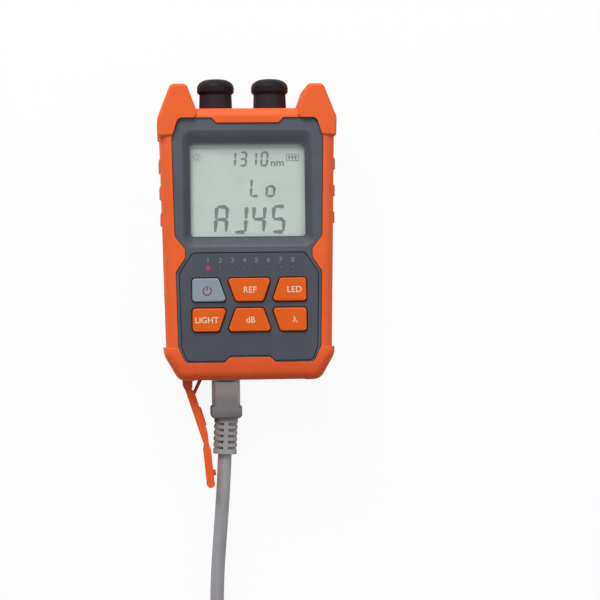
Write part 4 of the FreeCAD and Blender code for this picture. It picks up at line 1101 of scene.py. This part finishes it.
@dataclass
class Keypad:
    """Keypad plate, keys with their legends, numerals and indicators."""

    legend_lift: float = 0.02 * MM
    numeral_count: int = 8
    numeral_size: float = 2.0 * MM
    numeral_pitch: float = 5.0 * MM
    numeral_row: Pair = (0.6 * MM, -6.7 * MM)
    legend_size: float = 2.45 * MM
    legend_weight: float = 0.02 * MM
    symbol_aside: Pair = (-0.7 * MM, -0.4 * MM)
    symbol_inner: float = 1.45 * MM
    symbol_outer: float = 1.95 * MM
    symbol_thick: float = 0.04 * MM
    symbol_open: float = 32.0
    bar_size: Pair = (0.5 * MM, 2.0 * MM)
    bar_rise: float = 1.2 * MM
    bar_round: float = 0.24 * MM

    def build(self) -> None:
        """Dress the keypad and print its legends."""
        dress(Finishes.PLATE, "keypad_plate")
        dress(Finishes.POWER, "power_key")
        dress(Finishes.KEY, "ref_key", "led_key", "light_key", "db_key", "wavelength_key")
        dress(Finishes.LENS, "indicator_lenses")
        dress(Finishes.LIT, "indicator_lit")
        self._numerals()
        self._legends()
        self._power_symbol()

    def _numerals(self) -> None:
        """Print 1 to 8 over the indicators."""
        _, high = node_box("keypad_plate")
        ink = Lettering(Finishes.NUMERAL, "case", "lens_clear")
        x, y = self.numeral_row
        for i in range(self.numeral_count):
            aside = self.numeral_pitch * (i - (self.numeral_count - 1) / 2)
            spot = Vector((x + aside, y, high.z + self.legend_lift))
            ink.write("numeral_%d" % (i + 1), str(i + 1), self.numeral_size, spot)

    def _key_middle(self, name: str) -> Vector:
        """Return the middle of a key's face."""
        low, high = node_box(name)
        return Vector(((low.x + high.x) / 2, (low.y + high.y) / 2, high.z + self.legend_lift))

    def _legends(self) -> None:
        """Print the words on the keys."""
        for key, (word, aside) in LEGENDS.items():
            ink = Lettering(Finishes.LEGEND, key.replace("_key", "_button"), "key_orange")
            spot = self._key_middle(key) + Vector((aside * MM, 0, 0))
            ink.write(key + "_legend", word, self.legend_size, spot, self.legend_weight)

    def _power_symbol(self) -> None:
        """Print the ring and bar of the power key."""
        spot = self._key_middle("power_key") + Vector((*self.symbol_aside, 0))
        shape = Shape("power_key_symbol")
        inner, outer, thick = self.symbol_inner, self.symbol_outer, self.symbol_thick
        ring = [(inner, 0.0), (outer, 0.0), (outer, thick), (inner, thick)]
        verts = [shape.bm.verts.new((radius, 0, height)) for radius, height in ring]
        edges = [shape.bm.edges.new((verts[i], verts[(i + 1) % 4])) for i in range(4)]
        bmesh.ops.rotate(shape.bm, cent=(0, 0, 0), verts=verts,
                         matrix=Matrix.Rotation(math.radians(90 + self.symbol_open), 3, "Z"))
        shape.bm.faces.new(verts)
        turned = bmesh.ops.spin(shape.bm, geom=verts + edges, cent=(0, 0, 0), axis=(0, 0, 1),
                                angle=math.radians(360 - 2 * self.symbol_open), steps=40,
                                use_merge=False, use_duplicate=False)
        ends = [v for v in turned["geom_last"] if isinstance(v, bmesh.types.BMVert)]
        bmesh.ops.contextual_create(shape.bm, geom=ends)
        bar = bmesh.ops.create_cube(shape.bm, size=1.0)["verts"]
        bmesh.ops.scale(shape.bm, vec=(*self.bar_size, thick), verts=bar)
        bmesh.ops.translate(shape.bm, vec=(0, self.bar_rise, thick / 2), verts=bar)
        corners = {edge for vert in bar for edge in vert.link_edges
                   if abs(edge.verts[0].co.z - edge.verts[1].co.z) > thick / 2}
        shape.bevel(corners, self.bar_round, 4)
        shape.move(Matrix.Translation(spot)).clean()
        shape.done(Finishes.SYMBOL, "power_button", False)


# ---- display
SEGMENTS = {
    "0": "abcdef", "1": "bc", "3": "abcdg", "4": "bcfg", "5": "acdfg",
    "A": "abcefg", "J": "bcd", "L": "def", "o": "cdeg",
}


# Text, left edge of each character, low edge, width, height and segment thickness, in millimetres
ROWS = (
    ("1310", (-8.1, -3.6, 0.6, 5.2), 32.0, 3.5, 6.6, 1.1),
    ("L", (0.7,), 19.3, 4.3, 8.2, 1.25),
    ("o", (7.2,), 19.2, 4.3, 9.4, 1.25),
    ("AJ45", (-14.5, -6.5, 1.1, 9.3), 4.1, 6.2, 12.3, 1.75),
)


@dataclass
class Display:
    """Window, liquid-crystal panel and what it shows; places in millimetres."""

    lift: float = 0.02 * MM
    ink: float = 0.03 * MM
    point: float = 0.58
    slant: float = 0.06
    unit_size: float = 1.9
    unit_place: Pair = (12.5, 33.3)
    unit_weight: float = 0.08
    unit_width: float = 1.1
    lamp_place: Pair = (-21.0, 36.2)
    lamp_radius: float = 0.95
    lamp_ray: Pair = (1.3, 2.0)
    lamp_line: float = 0.38
    cell_low: Pair = (16.4, 34.5)
    cell_high: Pair = (21.3, 37.2)
    cell_line: float = 0.35
    bar_first: float = 1.1
    bar_pitch: float = 1.3
    bar_thick: float = 1.0

    def build(self) -> None:
        """Dress the display and draw its characters."""
        dress(Finishes.WINDOW, "display_window")
        low, high = node_box("lcd_panel")
        centre = (low + high) / 2
        dress(LiquidCrystal("liquid_crystal", srgb(231, 240, 235), (centre.x, centre.y),
                            ((high.x - low.x) / 2, (high.y - low.y) / 2)), "lcd_panel")
        self.top = high.z + self.lift
        self._characters()
        self._icons()

    def _spot(self, place: Pair) -> Vector:
        """Return a point on the display from its place in millimetres."""
        return Vector((place[0] * MM, place[1] * MM, self.top))

    def _bar(self, shape: Shape, start: Vector, end: Vector, thick: float) -> None:
        """Add one pointed segment from start to end."""
        along = end - start
        made = bmesh.ops.create_circle(shape.bm, cap_ends=True, segments=6, radius=thick / 2)
        reach = along.length / 2 - thick * self.point
        for vert in made["verts"]:
            vert.co.x += math.copysign(reach, vert.co.x)
        turn = Matrix.Rotation(math.atan2(along.y, along.x), 4, "Z")
        bmesh.ops.transform(shape.bm, verts=made["verts"],
                            matrix=Matrix.Translation((start + end) / 2) @ turn)

    def _character(self, shape: Shape, sign: str, low: Vector, width: float, height: float,
                   thick: float) -> None:
        """Add one seven-segment character.

        Args:
            shape: The piece that it is added to.
            sign: The character.
            low: Its lower left corner.
            width: Its width.
            height: Its height.
            thick: Thickness of a segment.
        """
        def at(across: float, up: float) -> Vector:
            """Return a corner of the character."""
            x = thick / 2 + across * (width - thick) + self.slant * up * height
            return low + Vector((x, thick / 2 + up * (height - thick), 0))
        ends = {
            "a": ((0, 1), (1, 1)), "b": ((1, 0.5), (1, 1)), "c": ((1, 0), (1, 0.5)),
            "d": ((0, 0), (1, 0)), "e": ((0, 0), (0, 0.5)), "f": ((0, 0.5), (0, 1)),
            "g": ((0, 0.5), (1, 0.5)),
        }
        for name in SEGMENTS[sign]:
            (x0, y0), (x1, y1) = ends[name]
            self._bar(shape, at(x0, y0), at(x1, y1), thick)

    def _thicken(self, shape: Shape) -> None:
        """Give flat marks the thickness of a film."""
        made = bmesh.ops.extrude_face_region(shape.bm, geom=list(shape.bm.faces))
        verts = [v for v in made["geom"] if isinstance(v, bmesh.types.BMVert)]
        bmesh.ops.translate(shape.bm, vec=(0, 0, self.ink), verts=verts)
        shape.clean()

    def _characters(self) -> None:
        """Draw the reading and the line of large characters."""
        shape = Shape("display_characters")
        for text, lefts, low, width, height, thick in ROWS:
            for sign, left in zip(text, lefts):
                self._character(shape, sign, self._spot((left, low)), width * MM, height * MM,
                                thick * MM)
        self._thicken(shape)
        shape.done(Finishes.SEGMENT, "case", False)
        ink = Lettering(Finishes.SEGMENT, "case", "lcd_glass", self.ink)
        ink.write("display_unit", "nm", self.unit_size * MM, self._spot(self.unit_place),
                  self.unit_weight * MM, self.unit_width)

    def _icons(self) -> None:
        """Draw the lamp and battery icons."""
        shape = Shape("display_icons")
        centre = self._spot(self.lamp_place)
        near, far = self.lamp_ray
        line = self.lamp_line * MM
        turns = [Vector((math.cos(math.tau * i / 8), math.sin(math.tau * i / 8), 0))
                 for i in range(9)]
        for one, other in zip(turns, turns[1:]):
            self._bar(shape, centre + one * self.lamp_radius * MM,
                      centre + other * self.lamp_radius * MM, line)
            self._bar(shape, centre + one * near * MM, centre + one * far * MM, line)
        left, low, right, high = (place * MM for place in self.cell_low + self.cell_high)
        line = self.cell_line * MM
        corners = [Vector((x, y, self.top)) for x, y in
                   ((left, low), (right, low), (right, high), (left, high))]
        for a, b in zip(corners, corners[1:] + corners[:1]):
            self._bar(shape, a, b, line)
        for i in range(3):
            x = left + (self.bar_first + i * self.bar_pitch) * MM
            self._bar(shape, Vector((x, low + line, self.top)), Vector((x, high - line, self.top)),
                      self.bar_thick * MM)
        self._thicken(shape)
        shape.done(Finishes.SEGMENT, "case", False)


# ---- all
def main() -> None:
    """Build and dress everything."""
    logging.basicConfig(level=logging.WARNING, format="%(name)s: %(message)s")
    Studio().build()
    for part in (Lead(), Ports(), Case(), Inside(), Keypad(), Display()):
        part.build()
        LOG.info("%s done", type(part).__name__)


if __name__ == "__main__":
    main()
